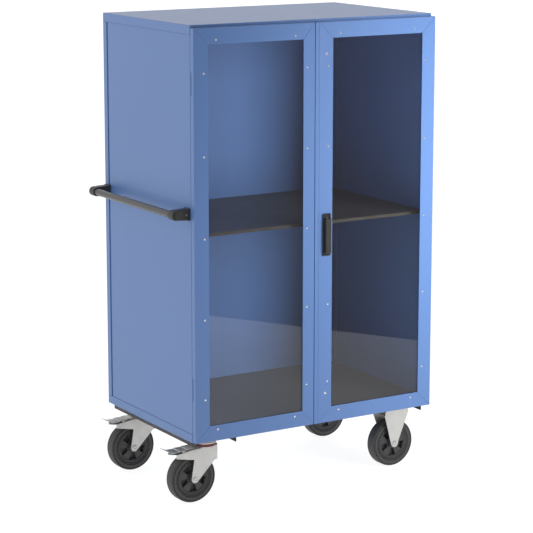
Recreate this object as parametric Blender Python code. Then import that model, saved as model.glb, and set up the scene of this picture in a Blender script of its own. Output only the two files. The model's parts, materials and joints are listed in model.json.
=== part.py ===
# Cupboard trolley with two glazed doors, a push handle and four castors.
# Metres, +Z up, +X along the front away from the push handle, -Y towards whoever opens the doors.
# The origin is on the floor, in the middle of the whole outline.
import math

import bmesh
import bpy
from mathutils import Vector

# Cabinet shell
BODY_WIDTH = 0.893
BODY_DEPTH = 0.571
BODY_HEIGHT = 1.300
SHEET = 0.0015              # steel skins
GAP = 0.0003                # between pieces that rest on each other
CAP_FLANGE = 0.0287
PAN_HEIGHT = 0.0277
PAN_LIP = 0.025             # inward lips under the pan
FRONT_RETURN = 0.030        # side panels, behind the doors
BACK_RETURN = 0.018
BACK_WING = 0.024           # the back panel wraps this far round the corners
SEAM_WIDTH = 0.006          # groove in front of the wings
SEAM_DEPTH = 0.002
FLOOR_SHEET = 0.0024
BOARD_CLEARANCE = 0.0012    # round the shelf and the floor sheet
ROD_SPACE = 0.014           # kept free behind the doors for the lock rods
SHELF_THICK = 0.010
SHELF_HEIGHT = 0.6555       # top of the shelf above the cabinet's underside
RAIL_LEG = 0.020
RAIL_BACK_CLEARANCE = 0.010

# Doors
DOOR_GAP = 0.0025           # between the doors and the cabinet
DOOR_DEPTH = 0.020
DOOR_BOTTOM = 0.003
DOOR_TOP_REVEAL = 0.0087    # cap left showing above the doors
FRAME_WIDTH = 0.0505
MEETING_WIDTH = 0.0425      # the left door's free stile
MEETING_X = 0.4342          # the left door's free edge from the cabinet's left side
MEETING_GAP = 0.0018
STRIP_WIDTH = 0.0140
BACK_LIP = 0.012
MITRE_GAP = 0.0002
PANE_THICK = 0.004
PANE_OVERLAP = 0.020
PANE_NOTCH_CLEARANCE = 0.0015

# Door hinges
HINGE_LENGTH = 0.067
HINGE_OFFSET = 0.1685       # from a door's end to the middle of its hinge
BARREL_RADIUS = 0.0045
BARREL_SIDES = 16
HINGE_INSET = 0.0020        # axis inside the cabinet's side
HINGE_FORWARD = 0.0030      # axis in front of the cabinet
HINGE_PIN_RADIUS = 0.0022
HINGE_BORE_RADIUS = 0.0026
LEAF_THICK = 0.0017
CABINET_LEAF_WIDTH = 0.026
DOOR_LEAF_WIDTH = 0.012
HINGE_NOTCH_CLEARANCE = 0.0010
LIFT_GAP = 0.0005           # between the two knuckles

# Swing handle and rods in the right door
LOCK_INSET = 0.0275         # from the door's free edge
DISH_WIDTH = 0.0285
DISH_HEIGHT = 0.136
DISH_LEVEL = 0.6193         # its middle above the cabinet's underside
DISH_PROUD = 0.005
DISH_RIM = 0.003
DISH_RECESS = 0.003
TURN_FROM_TOP = 0.018       # from the dish's top to the spindle
BOSS_RADIUS = 0.009
BOSS_LENGTH = 0.018
BOSS_CLEARANCE = 0.0005
SPINDLE_RADIUS = 0.005
SPINDLE_CLEARANCE = 0.0004
SPINDLE_SIDES = 16
HEAD_WIDTH = 0.0095
HEAD_HEIGHT = 0.007
HEAD_FROM_FRONT = 0.0028    # behind the lever's face
LEVER_WIDTH = 0.0195
LEVER_THICK = 0.0115
LEVER_GAP = 0.0005
LEVER_LENGTH = 0.110        # from the spindle down
LEVER_TOP = 0.006           # from the spindle up
LEVER_EDGE = 0.003
LEVER_SLOT_CLEARANCE = 0.0005
LEVER_SLOT_DEPTH = 0.0105
LEVER_FACE = 0.0012         # left in front of the slot
LEVER_PIN_RADIUS = 0.0019
LEVER_PIN_CLEARANCE = 0.0003
ROD_THICK = 0.004
ROD_WIDTH = 0.012
ROD_FROM_LIP = 0.0015       # clear of the cap's and the pan's flanges
ROD_SHORT = 0.002           # drawn in, the rods end this far short of the cap and the pan
ROD_SLOT_CLEARANCE = 0.0006
PINION_TEETH = 8
PINION_RADIUS = 0.008       # pitch circle
TOOTH_HEIGHT = 0.0017       # above and below the pitch line
TOOTH_PLAY = 0.0005
PINION_TIP_SHARE = 0.11     # half a tooth's width, of the angle between teeth
PINION_ROOT_SHARE = 0.30
RACK_TIP_SHARE = 0.10       # half a tooth's width, of the pitch
RACK_ROOT_SHARE = 0.26
RACK_BACK = 0.004
RACK_AHEAD = 0.024          # from the spindle to the rod's crank
RACK_BEHIND = 0.020         # from the spindle to the rack's free end
GUIDE_FROM_END = 0.099
GUIDE_WIDTH = 0.022
GUIDE_HEIGHT = 0.020
GUIDE_WALL = 0.0025
GUIDE_CLEARANCE = 0.0004

# Push handle on the left side
TUBE_RADIUS = 0.011
TUBE_SIDES = 20
TUBE_OUT = 0.048            # axis outside the cabinet's side
PUSH_LEVEL = 0.7226         # axis above the cabinet's underside
BRACKET_DEPTH = 0.032       # along the cabinet's depth
BRACKET_INSET = 0.0045      # from the cabinet's front and back, so that the open door clears it
BRACKET_BASE_HEIGHT = 0.038
BRACKET_BASE_THICK = 0.006
BRACKET_NECK_HEIGHT = 0.034
BRACKET_NECK_STEP = 0.002
BRACKET_END_RADIUS = 0.015
BRACKET_ARC_STEPS = 8
SOCKET_DEPTH = 0.020
SOCKET_CLEARANCE = 0.0004

# Castors, swivelling at the handle's end and fixed at the other
WHEEL_RADIUS = 0.080
WHEEL_WIDTH = 0.040
TYRE_SIDES = 32
TREAD_EDGE = 0.006          # tread's crown from the tyre's side
TYRE_SHOULDER = 0.003
SHOULDER_INSET = 0.0015
BEAD_HEIGHT = 0.002
RIM_RADIUS = 0.054
RIM_WIDTH = 0.034
RIM_WALL = 0.0065
RIM_EDGE = 0.001
DISC_WIDTH = 0.028
HUB_RADIUS = 0.0165
HUB_PLAY = 0.0007           # from the hub to the fork
HUB_CLEARANCE = 0.0006      # round the axle
POCKETS = 5
POCKET_DEPTH = 0.011
POCKET_MARGIN = 0.004       # from the hub and from the rim
POCKET_RIB = 0.0207         # between neighbours, at half their reach
POCKET_TURN = 0.75          # of a pitch, from the front to the first pocket
CASTOR_END_INSET = 0.0887   # king pin from the cabinet's end
CASTOR_SIDE_INSET = 0.0806  # wheel's middle from the cabinet's front and back
TRAIL = 0.050
CROWN_CLEARANCE = 0.017     # over the tyre
CROWN_THICK = 0.004
CROWN_RADIUS = 0.0375
SEAL_HEIGHT = 0.0075
SEAL_WALL = 0.008
RACE_HEIGHT = 0.0190
RACE_RADIUS = 0.039
RACE_TOP_RADIUS = 0.032
RACE_EDGE = 0.003
PLATE_LENGTH = 0.135
PLATE_WIDTH = 0.108
PLATE_THICK = 0.004
HOLE_PITCH_LONG = 0.105
HOLE_PITCH_SHORT = 0.080
HOLE_RADIUS = 0.0048
HOLE_SIDES = 8
KING_PIN_RADIUS = 0.008
KING_PIN_CLEARANCE = 0.0006
KING_HEAD_RADIUS = 0.013
KING_HEAD_HEIGHT = 0.006
RING_SIDES = 32
CHEEK_THICK = 0.0035
FORK_WIDTH = 0.060
TIP_RADIUS = 0.013
TIP_STEPS = 8
AXLE_RADIUS = 0.006
AXLE_CLEARANCE = 0.0004     # in the fork
AXLE_HEAD_RADIUS = 0.0085
AXLE_HEAD_HEIGHT = 0.0024
FORK_FRONT = 0.020          # to the round apron, all of these from the king pin
APRON_DEPTH = 0.022         # of the apron's curve, beyond the fork's front
APRON_STEPS = 12
KNEE_RISE = 0.053           # above the axle
CROWN_BACK = 0.060
ARM_REACH = 0.116
ARM_DROP = 0.0125           # arm's end below the crown
ARM_END_DEPTH = 0.013
ARM_ROOT_BACK = 0.003       # behind the axle
ARM_ROOT_DROP = 0.0375
FIXED_LEG_HALF = 0.0475     # a fixed fork's leg at its widest, each way from its middle
FIXED_TOP_HALF = 0.0435     # at its plate, clear of the bolts
FIXED_WIDEST_DROP = 0.0215  # below the plate
FIXED_NECK_DROP = 0.0105    # below the plate, where the leg is as narrow as at its top
FIXED_FLARE = 0.022         # leg's top further out than its foot
FIXED_BEND_RISE = 0.014     # above the axle
WING_FOLD = 0.017           # from the leg's middle, at the plate
WING_SLOPE = 0.26           # a wing's depth for its width
WING_FOOT_SHARE = 0.6       # of the leg's half width at its foot
CHANNEL_WIDTH = 0.147
CHANNEL_DEPTH = 0.020       # below the cabinet
CHANNEL_THICK = 0.003
CHANNEL_INSET = 0.004       # from the cabinet's front
CHANNEL_BACK_INSET = 0.012
PEDAL_PIVOT_BACK = 0.049    # from the king pin
PEDAL_PIVOT_DROP = 0.0105   # below the crown's top
PEDAL_PIN_RADIUS = 0.003
PEDAL_PIN_CLEARANCE = 0.0004
PEDAL_THICK = 0.0025
PEDAL_WIDTH = 0.044
PEDAL_START = 0.045
PEDAL_REACH = 0.128
PEDAL_STEP = 0.0022
PEDAL_STEPS = 2
PEDAL_DROP = 0.001          # tread below the crown's top
BLADE_REACH = 0.150
BLADE_RISE = 0.006
BLADE_WIDTH = 0.036
BLADE_THICK = 0.0013
SHOE_WIDTH = 0.024
SHOE_REACH = 0.026          # behind the pedal's pivot
SHOE_CLEARANCE = 0.0035     # over the tyre

# A cutter runs this far past what it cuts, and a joined shape this far into its neighbour
OVERRUN = 0.002
BITE = 0.0008

RIGHT_ANGLE = math.pi / 2

# Places that follow from the sizes
hinge_proud = BARREL_RADIUS * math.cos(math.pi / BARREL_SIDES) - HINGE_INSET
push_reach = TUBE_OUT + BRACKET_END_RADIUS
front_reach = DOOR_GAP + DOOR_DEPTH + DISH_PROUD + LEVER_GAP + LEVER_THICK
x_left = -(BODY_WIDTH + hinge_proud - push_reach) / 2
x_right = x_left + BODY_WIDTH
x_middle = (x_left + x_right) / 2
y_front = -(BODY_DEPTH - front_reach) / 2
y_back = y_front + BODY_DEPTH

axle_z = WHEEL_RADIUS * math.cos(math.pi / TYRE_SIDES)
crown_low = axle_z + WHEEL_RADIUS + CROWN_CLEARANCE
crown_top = crown_low + CROWN_THICK
seal_low = crown_top + GAP
seal_top = seal_low + SEAL_HEIGHT
race_low = seal_top + GAP
plate_low = race_low + RACE_HEIGHT
plate_top = plate_low + PLATE_THICK
web_low = plate_top + GAP
web_top = web_low + CHANNEL_THICK
z_base = web_top + GAP
z_top = z_base + BODY_HEIGHT
pan_top = z_base + PAN_HEIGHT

panel_out = SHEET + GAP     # side panels' outer faces inside the flanges' plane
panel_in = panel_out + SHEET
wing_front = y_back - BACK_WING
board_front = y_front + ROD_SPACE
shelf_top = z_base + SHELF_HEIGHT
shelf_low = shelf_top - SHELF_THICK

door_back = y_front - DOOR_GAP
door_front = door_back - DOOR_DEPTH
skin_back = door_front + SHEET
door_low = z_base + DOOR_BOTTOM
door_high = z_top - DOOR_TOP_REVEAL
door_middle = (door_low + door_high) / 2
left_free_x = x_left + MEETING_X
strip_x = left_free_x + MEETING_GAP
right_frame_x = strip_x + STRIP_WIDTH + GAP
hinge_y = y_front - HINGE_FORWARD
hinge_heights = {"lower": door_low + HINGE_OFFSET, "upper": door_high - HINGE_OFFSET}
hinge_sides = {"left": (x_left, 1), "right": (x_right, -1)}

lock_x = right_frame_x + LOCK_INSET
dish_low = z_base + DISH_LEVEL - DISH_HEIGHT / 2
dish_high = dish_low + DISH_HEIGHT
dish_front = door_front - DISH_PROUD
lever_back = dish_front - LEVER_GAP
lever_front = lever_back - LEVER_THICK
lever_pin_y = (lever_front + lever_back) / 2
spindle_z = dish_high - TURN_FROM_TOP
rod_front = y_front + SHEET + ROD_FROM_LIP
rod_back = rod_front + ROD_THICK
rod_ends = {"upper": z_top - CAP_FLANGE - ROD_SHORT, "lower": pan_top + ROD_SHORT}
guide_heights = {"upper": door_high - GUIDE_FROM_END, "lower": door_low + GUIDE_FROM_END}

push_z = z_base + PUSH_LEVEL
tube_x = x_left - TUBE_OUT
castor_x = {"left": x_left + CASTOR_END_INSET, "right": x_right - CASTOR_END_INSET}
castor_y = {"front": y_front + CASTOR_SIDE_INSET, "back": y_back - CASTOR_SIDE_INSET}

places = {}


def clear_scene():
    for old in list(bpy.data.objects):
        bpy.data.objects.remove(old)


def finish(name, colour, roughness, metallic=0.0, alpha=1.0):
    material = bpy.data.materials.new(name)
    material.use_nodes = True
    shader = material.node_tree.nodes["Principled BSDF"]
    shader.inputs["Base Color"].default_value = (*colour, 1.0)
    shader.inputs["Roughness"].default_value = roughness
    shader.inputs["Metallic"].default_value = metallic
    shader.inputs["Alpha"].default_value = alpha
    material.diffuse_color = (*colour, alpha)
    return material


def pivot(name, place, parent=None):
    """An empty on a joint's axis. What moves with the joint is parented to it."""
    empty = bpy.data.objects.new(name, None)
    bpy.context.collection.objects.link(empty)
    empty.parent = parent
    empty.location = Vector(place) - places.get(parent, Vector())
    empty.empty_display_size = BODY_DEPTH / 10
    places[empty] = Vector(place)
    return empty


def put(name, bm, material, parent=None, smooth=False):
    """Makes the named object from bm, whose points are in the trolley's own frame."""
    bmesh.ops.recalc_face_normals(bm, faces=bm.faces)
    bmesh.ops.translate(bm, verts=bm.verts, vec=-places.get(parent, Vector()))
    mesh = bpy.data.meshes.new(name)
    bm.to_mesh(mesh)
    bm.free()
    if smooth:
        mesh.shade_smooth()
        mesh.set_sharp_from_angle(angle=math.radians(35))
    piece = bpy.data.objects.new(name, mesh)
    bpy.context.collection.objects.link(piece)
    piece.parent = parent
    if material:
        mesh.materials.append(material)
    return piece


def combine(piece, bm, operation):
    """Joins bm to a piece, or cuts it away, with a live Boolean."""
    tool = put(piece.name + "_" + operation.lower(), bm, None, piece.parent)
    tool.hide_render = True
    tool.display_type = "WIRE"
    modifier = piece.modifiers.new(operation.lower(), "BOOLEAN")
    modifier.operation = operation
    modifier.solver = "EXACT"
    modifier.object = tool


def cut(piece, bm):
    combine(piece, bm, "DIFFERENCE")


def join(piece, bm):
    combine(piece, bm, "UNION")


def to_space(axis, a, b, along):
    """A point from its two places across an axis and its place along it."""
    return {"X": (along, a, b), "Y": (a, along, b), "Z": (a, b, along)}[axis]


def add_band(bm, first, second):
    count = len(first)
    for i in range(count):
        j = (i + 1) % count
        bm.faces.new((first[i], first[j], second[j], second[i]))


def add_prism(bm, outline, axis, start, end):
    rings = []
    for along in (start, end):
        rings.append([bm.verts.new(to_space(axis, a, b, along)) for a, b in outline])
        bm.faces.new(rings[-1])
    add_band(bm, *rings)
    return bm


def add_block(bm, low, high):
    outline = [(low[0], low[1]), (high[0], low[1]), (high[0], high[1]), (low[0], high[1])]
    return add_prism(bm, outline, "Z", low[2], high[2])


def add_turned(bm, profile, axis, centre, sides, turn=0.0):
    """Turns (radius, place along the axis) points. A profile that stays off the axis closes on itself."""
    rings = []
    for radius, along in profile:
        ring = []
        for i in range(sides if radius else 1):
            angle = turn + math.tau * i / sides
            a = centre[0] + radius * math.cos(angle)
            b = centre[1] + radius * math.sin(angle)
            ring.append(bm.verts.new(to_space(axis, a, b, along)))
        rings.append(ring)
    if profile[0][0]:
        rings.append(rings[0])
    for first, second in zip(rings, rings[1:]):
        if len(first) == len(second):
            add_band(bm, first, second)
            continue
        pole, ring = (first, second) if len(first) == 1 else (second, first)
        for i in range(sides):
            bm.faces.new((pole[0], ring[i], ring[(i + 1) % sides]))
    return bm


def add_rod(bm, radius, axis, centre, start, end, sides, turn=0.0):
    return add_turned(bm, [(0, start), (radius, start), (radius, end), (0, end)], axis, centre, sides, turn)


def thick_path(points, thickness):
    """Outline of a folded sheet: the points, and the same path moved to its left by the thickness."""
    moved = []
    for i, point in enumerate(points):
        normals = []
        for first, second in ((i - 1, i), (i, i + 1)):
            if first >= 0 and second < len(points):
                run = Vector(points[second]) - Vector(points[first])
                normals.append(Vector((-run.y, run.x)).normalized())
        mitre = normals[0] + normals[-1]
        mitre *= thickness / mitre.dot(normals[0])
        moved.append((point[0] + mitre.x, point[1] + mitre.y))
    return list(points) + moved[::-1]


def mirrored(points):
    """The same outline on the cabinet's other side."""
    return [(2 * x_middle - x, other) for x, other in points]


def spread(middle, width):
    return middle - width / 2, middle + width / 2


def make_shell():
    low = (x_left, y_front, z_top - CAP_FLANGE)
    cap = put("top_cap", add_block(bmesh.new(), low, (x_right, y_back, z_top)), blue)
    low = (x_left + SHEET, y_front + SHEET, z_top - CAP_FLANGE - OVERRUN)
    high = (x_right - SHEET, y_back - SHEET, z_top - SHEET)
    cut(cap, add_block(bmesh.new(), low, high))

    block = add_block(bmesh.new(), (x_left, y_front, z_base), (x_right, y_back, pan_top))
    pan = put("floor_pan", block, blue)
    low = (x_left + SHEET, y_front + SHEET, z_base + SHEET)
    high = (x_right - SHEET, y_back - SHEET, pan_top - SHEET)
    cut(pan, add_block(bmesh.new(), low, high))
    low = (x_left + PAN_LIP, y_front + PAN_LIP, z_base - OVERRUN)
    high = (x_right - PAN_LIP, y_back - PAN_LIP, z_base + SHEET + OVERRUN)
    cut(pan, add_block(bmesh.new(), low, high))
    slot = spread(lock_x, ROD_WIDTH + 2 * ROD_SLOT_CLEARANCE)
    low = (slot[0], rod_front - ROD_SLOT_CLEARANCE, pan_top - SHEET - OVERRUN)
    high = (slot[1], rod_back + ROD_SLOT_CLEARANCE, pan_top + OVERRUN)
    cut(pan, add_block(bmesh.new(), low, high))

    wrap = [(x_right, wing_front), (x_right, y_back), (x_left, y_back), (x_left, wing_front)]
    back = add_prism(bmesh.new(), thick_path(wrap, SHEET), "Z", pan_top + GAP, z_top - CAP_FLANGE - GAP)
    put("back_panel", back, blue)


def make_sides():
    """Folded side panels, each with a shelf rail welded on inside."""
    out = x_left + panel_out
    back = y_back - panel_out
    folds = [
        (out + BACK_RETURN, back),
        (out, back),
        (out, wing_front),
        (out + SEAM_DEPTH, wing_front),
        (out + SEAM_DEPTH, wing_front - SEAM_WIDTH),
        (out, wing_front - SEAM_WIDTH),
        (out, y_front + panel_out),
        (out + FRONT_RETURN, y_front + panel_out),
    ]
    panel = thick_path(folds, SHEET)
    rail_x = x_left + panel_in - BITE
    rail_top = shelf_low - GAP
    folds = [(rail_x, rail_top - RAIL_LEG), (rail_x, rail_top), (rail_x + RAIL_LEG, rail_top)]
    rail = thick_path(folds, -SHEET)
    rail_back = wing_front - SEAM_WIDTH - RAIL_BACK_CLEARANCE
    sides = {"left": (panel, rail), "right": (mirrored(panel), mirrored(rail))}
    for side, (outline, angle) in sides.items():
        bm = add_prism(bmesh.new(), outline, "Z", pan_top + GAP, z_top - SHEET - GAP)
        piece = put(side + "_side_panel", bm, blue)
        join(piece, add_prism(bmesh.new(), angle, "Y", board_front, rail_back))


def make_boards():
    side = panel_in + SEAM_DEPTH + BOARD_CLEARANCE
    board_back = y_back - panel_in - BOARD_CLEARANCE
    layers = {"floor_sheet": (pan_top + GAP, pan_top + GAP + FLOOR_SHEET), "shelf": (shelf_low, shelf_top)}
    for name, (low, high) in layers.items():
        board = add_block(bmesh.new(), (x_left + side, board_front, low), (x_right - side, board_back, high))
        put(name, board, dark_board)


def make_push_handle():
    base = x_left + panel_out - GAP
    neck = base - BRACKET_BASE_THICK - BRACKET_NECK_STEP
    outline = [
        (neck, push_z - BRACKET_NECK_HEIGHT / 2),
        (base - BRACKET_BASE_THICK, push_z - BRACKET_BASE_HEIGHT / 2),
        (base, push_z - BRACKET_BASE_HEIGHT / 2),
        (base, push_z + BRACKET_BASE_HEIGHT / 2),
        (base - BRACKET_BASE_THICK, push_z + BRACKET_BASE_HEIGHT / 2),
        (neck, push_z + BRACKET_NECK_HEIGHT / 2),
    ]
    for i in range(BRACKET_ARC_STEPS + 1):
        angle = RIGHT_ANGLE + math.pi * i / BRACKET_ARC_STEPS
        x = tube_x + BRACKET_END_RADIUS * math.cos(angle)
        outline.append((x, push_z + BRACKET_END_RADIUS * math.sin(angle)))
    front = y_front + BRACKET_INSET
    back = y_back - BRACKET_INSET
    sockets = {
        "front": (front, front + BRACKET_DEPTH, front + BRACKET_DEPTH - SOCKET_DEPTH),
        "back": (back - BRACKET_DEPTH, back, back - BRACKET_DEPTH + SOCKET_DEPTH),
    }
    brackets = {}
    for end, (low, high, socket_end) in sockets.items():
        bracket = put("push_bracket_" + end, add_prism(bmesh.new(), outline, "Y", low, high), black_plastic)
        brackets[end] = bracket
        start, stop = (socket_end, high + OVERRUN) if end == "front" else (low - OVERRUN, socket_end)
        radius = TUBE_RADIUS + SOCKET_CLEARANCE
        cut(bracket, add_rod(bmesh.new(), radius, "Y", (tube_x, push_z), start, stop, TUBE_SIDES))
    # The back bracket is stepped over the back panel's wing
    low_z, high_z = spread(push_z, BRACKET_BASE_HEIGHT + 2 * OVERRUN)
    low = (x_left - GAP, wing_front - GAP, low_z)
    cut(brackets["back"], add_block(bmesh.new(), low, (base + OVERRUN, y_back, high_z)))
    start = sockets["front"][2] + GAP
    stop = sockets["back"][2] - GAP
    tube = add_rod(bmesh.new(), TUBE_RADIUS, "Y", (tube_x, push_z), start, stop, TUBE_SIDES)
    put("push_tube", tube, black_paint, smooth=True)


def channel_section(width):
    """(distance from the door's outer edge, y) round a member: front skin, outer flange and back lip."""
    folds = [(width, door_front), (0, door_front), (0, door_back), (BACK_LIP, door_back)]
    return thick_path(folds, -SHEET)


def add_member(bm, section, corner, run, inward, length, slopes):
    """A door member. Each slope is how far the mitre runs back along the edge for each step inward."""
    rings = []
    for end, slope in enumerate(slopes):
        ring = []
        for inset, y in section:
            from_end = inset * slope + MITRE_GAP
            along = length - from_end if end else from_end
            place = Vector(corner) + Vector(run) * along + Vector(inward) * inset
            ring.append(bm.verts.new((place.x, y, place.y)))
        bm.faces.new(ring)
        rings.append(ring)
    add_band(bm, *rings)
    return bm


def make_door(side, edges, widths, stiles, hinge):
    """A mitred frame and its pane. Returns the members and the pane by name."""
    left, right = edges
    height = door_high - door_low
    slopes = [width / FRAME_WIDTH for width in widths]
    members = {
        "bottom_rail": (FRAME_WIDTH, (left, door_low), (1, 0), (0, 1), right - left, slopes),
        "top_rail": (FRAME_WIDTH, (left, door_high), (1, 0), (0, -1), right - left, slopes),
        stiles[0]: (widths[0], (left, door_low), (0, 1), (1, 0), height, [1 / slopes[0]] * 2),
        stiles[1]: (widths[1], (right, door_low), (0, 1), (-1, 0), height, [1 / slopes[1]] * 2),
    }
    made = {}
    for name, (width, *rest) in members.items():
        member = add_member(bmesh.new(), channel_section(width), *rest)
        made[name] = put(f"{side}_door_{name}", member, blue, hinge)
    low = (left + widths[0] - PANE_OVERLAP, skin_back + GAP, door_low + FRAME_WIDTH - PANE_OVERLAP)
    high = (
        right - widths[1] + PANE_OVERLAP,
        skin_back + GAP + PANE_THICK,
        door_high - FRAME_WIDTH + PANE_OVERLAP,
    )
    made["pane"] = put(f"{side}_door_pane", add_block(bmesh.new(), low, high), clear_plastic, hinge)
    return made


def make_hinge(side, level, stile, door):
    """The lower knuckle and the pin stay on the cabinet, the upper knuckle goes with the door."""
    edge, inward = hinge_sides[side]
    x = edge + inward * HINGE_INSET
    z = hinge_heights[level]
    low, high = spread(z, HINGE_LENGTH)
    flat = math.pi / BARREL_SIDES
    bore_end = high - BARREL_RADIUS
    lower = [
        (0, low),
        (BARREL_RADIUS, low),
        (BARREL_RADIUS, z - LIFT_GAP / 2),
        (HINGE_PIN_RADIUS, z - LIFT_GAP / 2),
        (HINGE_PIN_RADIUS, bore_end - GAP),
        (0, bore_end - GAP),
    ]
    knuckle = add_turned(bmesh.new(), lower, "Z", (x, hinge_y), BARREL_SIDES, flat)
    cabinet_half = put(f"{side}_{level}_hinge_pin_half", knuckle, blue, smooth=True)
    leaf_x = sorted((x, x + inward * CABINET_LEAF_WIDTH))
    leaf_back = y_front + panel_out - GAP
    leaf_low = (leaf_x[0], leaf_back - LEAF_THICK, low + LIFT_GAP)
    join(cabinet_half, add_block(bmesh.new(), leaf_low, (leaf_x[1], leaf_back, z - LIFT_GAP)))

    upper = [
        (0, bore_end),
        (HINGE_BORE_RADIUS, bore_end),
        (HINGE_BORE_RADIUS, z + LIFT_GAP / 2),
        (BARREL_RADIUS, z + LIFT_GAP / 2),
        (BARREL_RADIUS, high),
        (0, high),
    ]
    knuckle = add_turned(bmesh.new(), upper, "Z", (x, hinge_y), BARREL_SIDES, flat)
    door_half = put(f"{side}_{level}_hinge_door_half", knuckle, blue, door, smooth=True)
    leaf_x = sorted((edge + inward * (SHEET + GAP), edge + inward * (SHEET + GAP + LEAF_THICK)))
    leaf_back = hinge_y - BARREL_RADIUS + BITE
    leaf_low = (leaf_x[0], leaf_back - DOOR_LEAF_WIDTH, z + LIFT_GAP)
    join(door_half, add_block(bmesh.new(), leaf_low, (leaf_x[1], leaf_back, high - LIFT_GAP)))

    swing = BARREL_RADIUS + HINGE_NOTCH_CLEARANCE
    notch_x = sorted((edge - inward * OVERRUN, x + inward * swing))
    notch_low = (notch_x[0], hinge_y - swing, low - HINGE_NOTCH_CLEARANCE)
    notch_high = (notch_x[1], door_back + OVERRUN, high + HINGE_NOTCH_CLEARANCE)
    cut(stile, add_block(bmesh.new(), notch_low, notch_high))


def make_dish(door, lock_stile):
    x = spread(lock_x, DISH_WIDTH)
    back = door_front - GAP
    block = add_block(bmesh.new(), (x[0], dish_front, dish_low), (x[1], back, dish_high))
    dish = put("handle_dish", block, black_plastic, door)
    centre = (lock_x, spindle_z)
    boss_end = back + BOSS_LENGTH
    join(dish, add_rod(bmesh.new(), BOSS_RADIUS, "Y", centre, back - BITE, boss_end, SPINDLE_SIDES))
    low = (x[0] + DISH_RIM, dish_front - OVERRUN, dish_low + DISH_RIM)
    high = (x[1] - DISH_RIM, dish_front + DISH_RECESS, dish_high - DISH_RIM)
    cut(dish, add_block(bmesh.new(), low, high))
    bore = SPINDLE_RADIUS + SPINDLE_CLEARANCE
    start, stop = dish_front - OVERRUN, boss_end + OVERRUN
    cut(dish, add_rod(bmesh.new(), bore, "Y", centre, start, stop, SPINDLE_SIDES))
    hole = BOSS_RADIUS + BOSS_CLEARANCE
    start, stop = door_front - OVERRUN, skin_back + OVERRUN
    cut(lock_stile, add_rod(bmesh.new(), hole, "Y", centre, start, stop, SPINDLE_SIDES))


def pinion_outline():
    points = []
    step = math.tau / PINION_TEETH
    tip = PINION_RADIUS + TOOTH_HEIGHT
    root = PINION_RADIUS - TOOTH_HEIGHT - TOOTH_PLAY
    corners = (
        (root, -PINION_ROOT_SHARE),
        (tip, -PINION_TIP_SHARE),
        (tip, PINION_TIP_SHARE),
        (root, PINION_ROOT_SHARE),
    )
    for i in range(PINION_TEETH):
        for radius, share in corners:
            angle = step * (i + share)
            points.append((lock_x + radius * math.cos(angle), spindle_z + radius * math.sin(angle)))
    return points


def rod_outline(side, ahead, far_end):
    """A flat rod, cranked round the pinion to a rack on one side of it. ahead is 1 up, -1 down."""
    pitch = math.tau * PINION_RADIUS / PINION_TEETH
    line = PINION_RADIUS + TOOTH_PLAY
    tip = line - TOOTH_HEIGHT
    root = line + TOOTH_HEIGHT + TOOTH_PLAY
    corners = (
        (root, -RACK_ROOT_SHARE),
        (tip, -RACK_TIP_SHARE),
        (tip, RACK_TIP_SHARE),
        (root, RACK_ROOT_SHARE),
    )
    points = [(root, -RACK_BEHIND)]
    first = math.ceil(-RACK_BEHIND / pitch + RACK_ROOT_SHARE - 0.5)
    last = math.floor(RACK_AHEAD / pitch - RACK_ROOT_SHARE - 0.5)
    for i in range(first, last + 1):
        for out, share in corners:
            points.append((out, (i + 0.5 + share) * pitch))
    far = abs(far_end - spindle_z)
    points += [
        (root, RACK_AHEAD),
        (-ROD_WIDTH / 2, RACK_AHEAD),
        (-ROD_WIDTH / 2, far),
        (ROD_WIDTH / 2, far),
        (ROD_WIDTH / 2, RACK_AHEAD + ROD_WIDTH),
        (root + RACK_BACK, RACK_AHEAD + ROD_WIDTH),
        (root + RACK_BACK, -RACK_BEHIND),
    ]
    return [(lock_x + side * out, spindle_z + ahead * along) for out, along in points]


def make_lever(turn, lift):
    """The spindle with its head and pinion, and the lever that is pinned to the head."""
    centre = (lock_x, spindle_z)
    pinion = add_prism(bmesh.new(), pinion_outline(), "Y", rod_front, rod_back)
    spindle = put("lock_spindle", pinion, zinc, turn)
    shaft_end = rod_front + BITE
    join(spindle, add_rod(bmesh.new(), SPINDLE_RADIUS, "Y", centre, lever_back, shaft_end, SPINDLE_SIDES))
    head_x = spread(lock_x, HEAD_WIDTH)
    head_z = spread(spindle_z, HEAD_HEIGHT)
    low = (head_x[0], lever_front + HEAD_FROM_FRONT, head_z[0])
    join(spindle, add_block(bmesh.new(), low, (head_x[1], lever_back + BITE, head_z[1])))
    across = spread(lock_x, HEAD_WIDTH + 2 * OVERRUN)
    hole = LEVER_PIN_RADIUS + LEVER_PIN_CLEARANCE
    cut(spindle, add_rod(bmesh.new(), hole, "X", (lever_pin_y, spindle_z), *across, HOLE_SIDES))

    top = spindle_z + LEVER_TOP
    bottom = spindle_z - LEVER_LENGTH
    outline = [
        (lever_back, top - LEVER_EDGE),
        (lever_back, bottom + LEVER_EDGE),
        (lever_back - LEVER_EDGE, bottom),
        (lever_front + LEVER_EDGE, bottom),
        (lever_front, bottom + LEVER_EDGE),
        (lever_front, top - LEVER_EDGE),
        (lever_front + LEVER_EDGE, top),
        (lever_back - LEVER_EDGE, top),
    ]
    bar = add_prism(bmesh.new(), outline, "X", *spread(lock_x, LEVER_WIDTH))
    lever = put("lock_lever", bar, black_plastic, lift)
    slot_x = spread(lock_x, HEAD_WIDTH + 2 * LEVER_SLOT_CLEARANCE)
    low = (slot_x[0], lever_front + LEVER_FACE, spindle_z - LEVER_SLOT_DEPTH)
    cut(lever, add_block(bmesh.new(), low, (slot_x[1], lever_back + OVERRUN, top + OVERRUN)))
    pin_x = spread(lock_x, HEAD_WIDTH + 2 * LEVER_SLOT_CLEARANCE + 2 * OVERRUN)
    pin = add_rod(bmesh.new(), LEVER_PIN_RADIUS, "X", (lever_pin_y, spindle_z), *pin_x, HOLE_SIDES)
    join(lever, pin)


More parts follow.
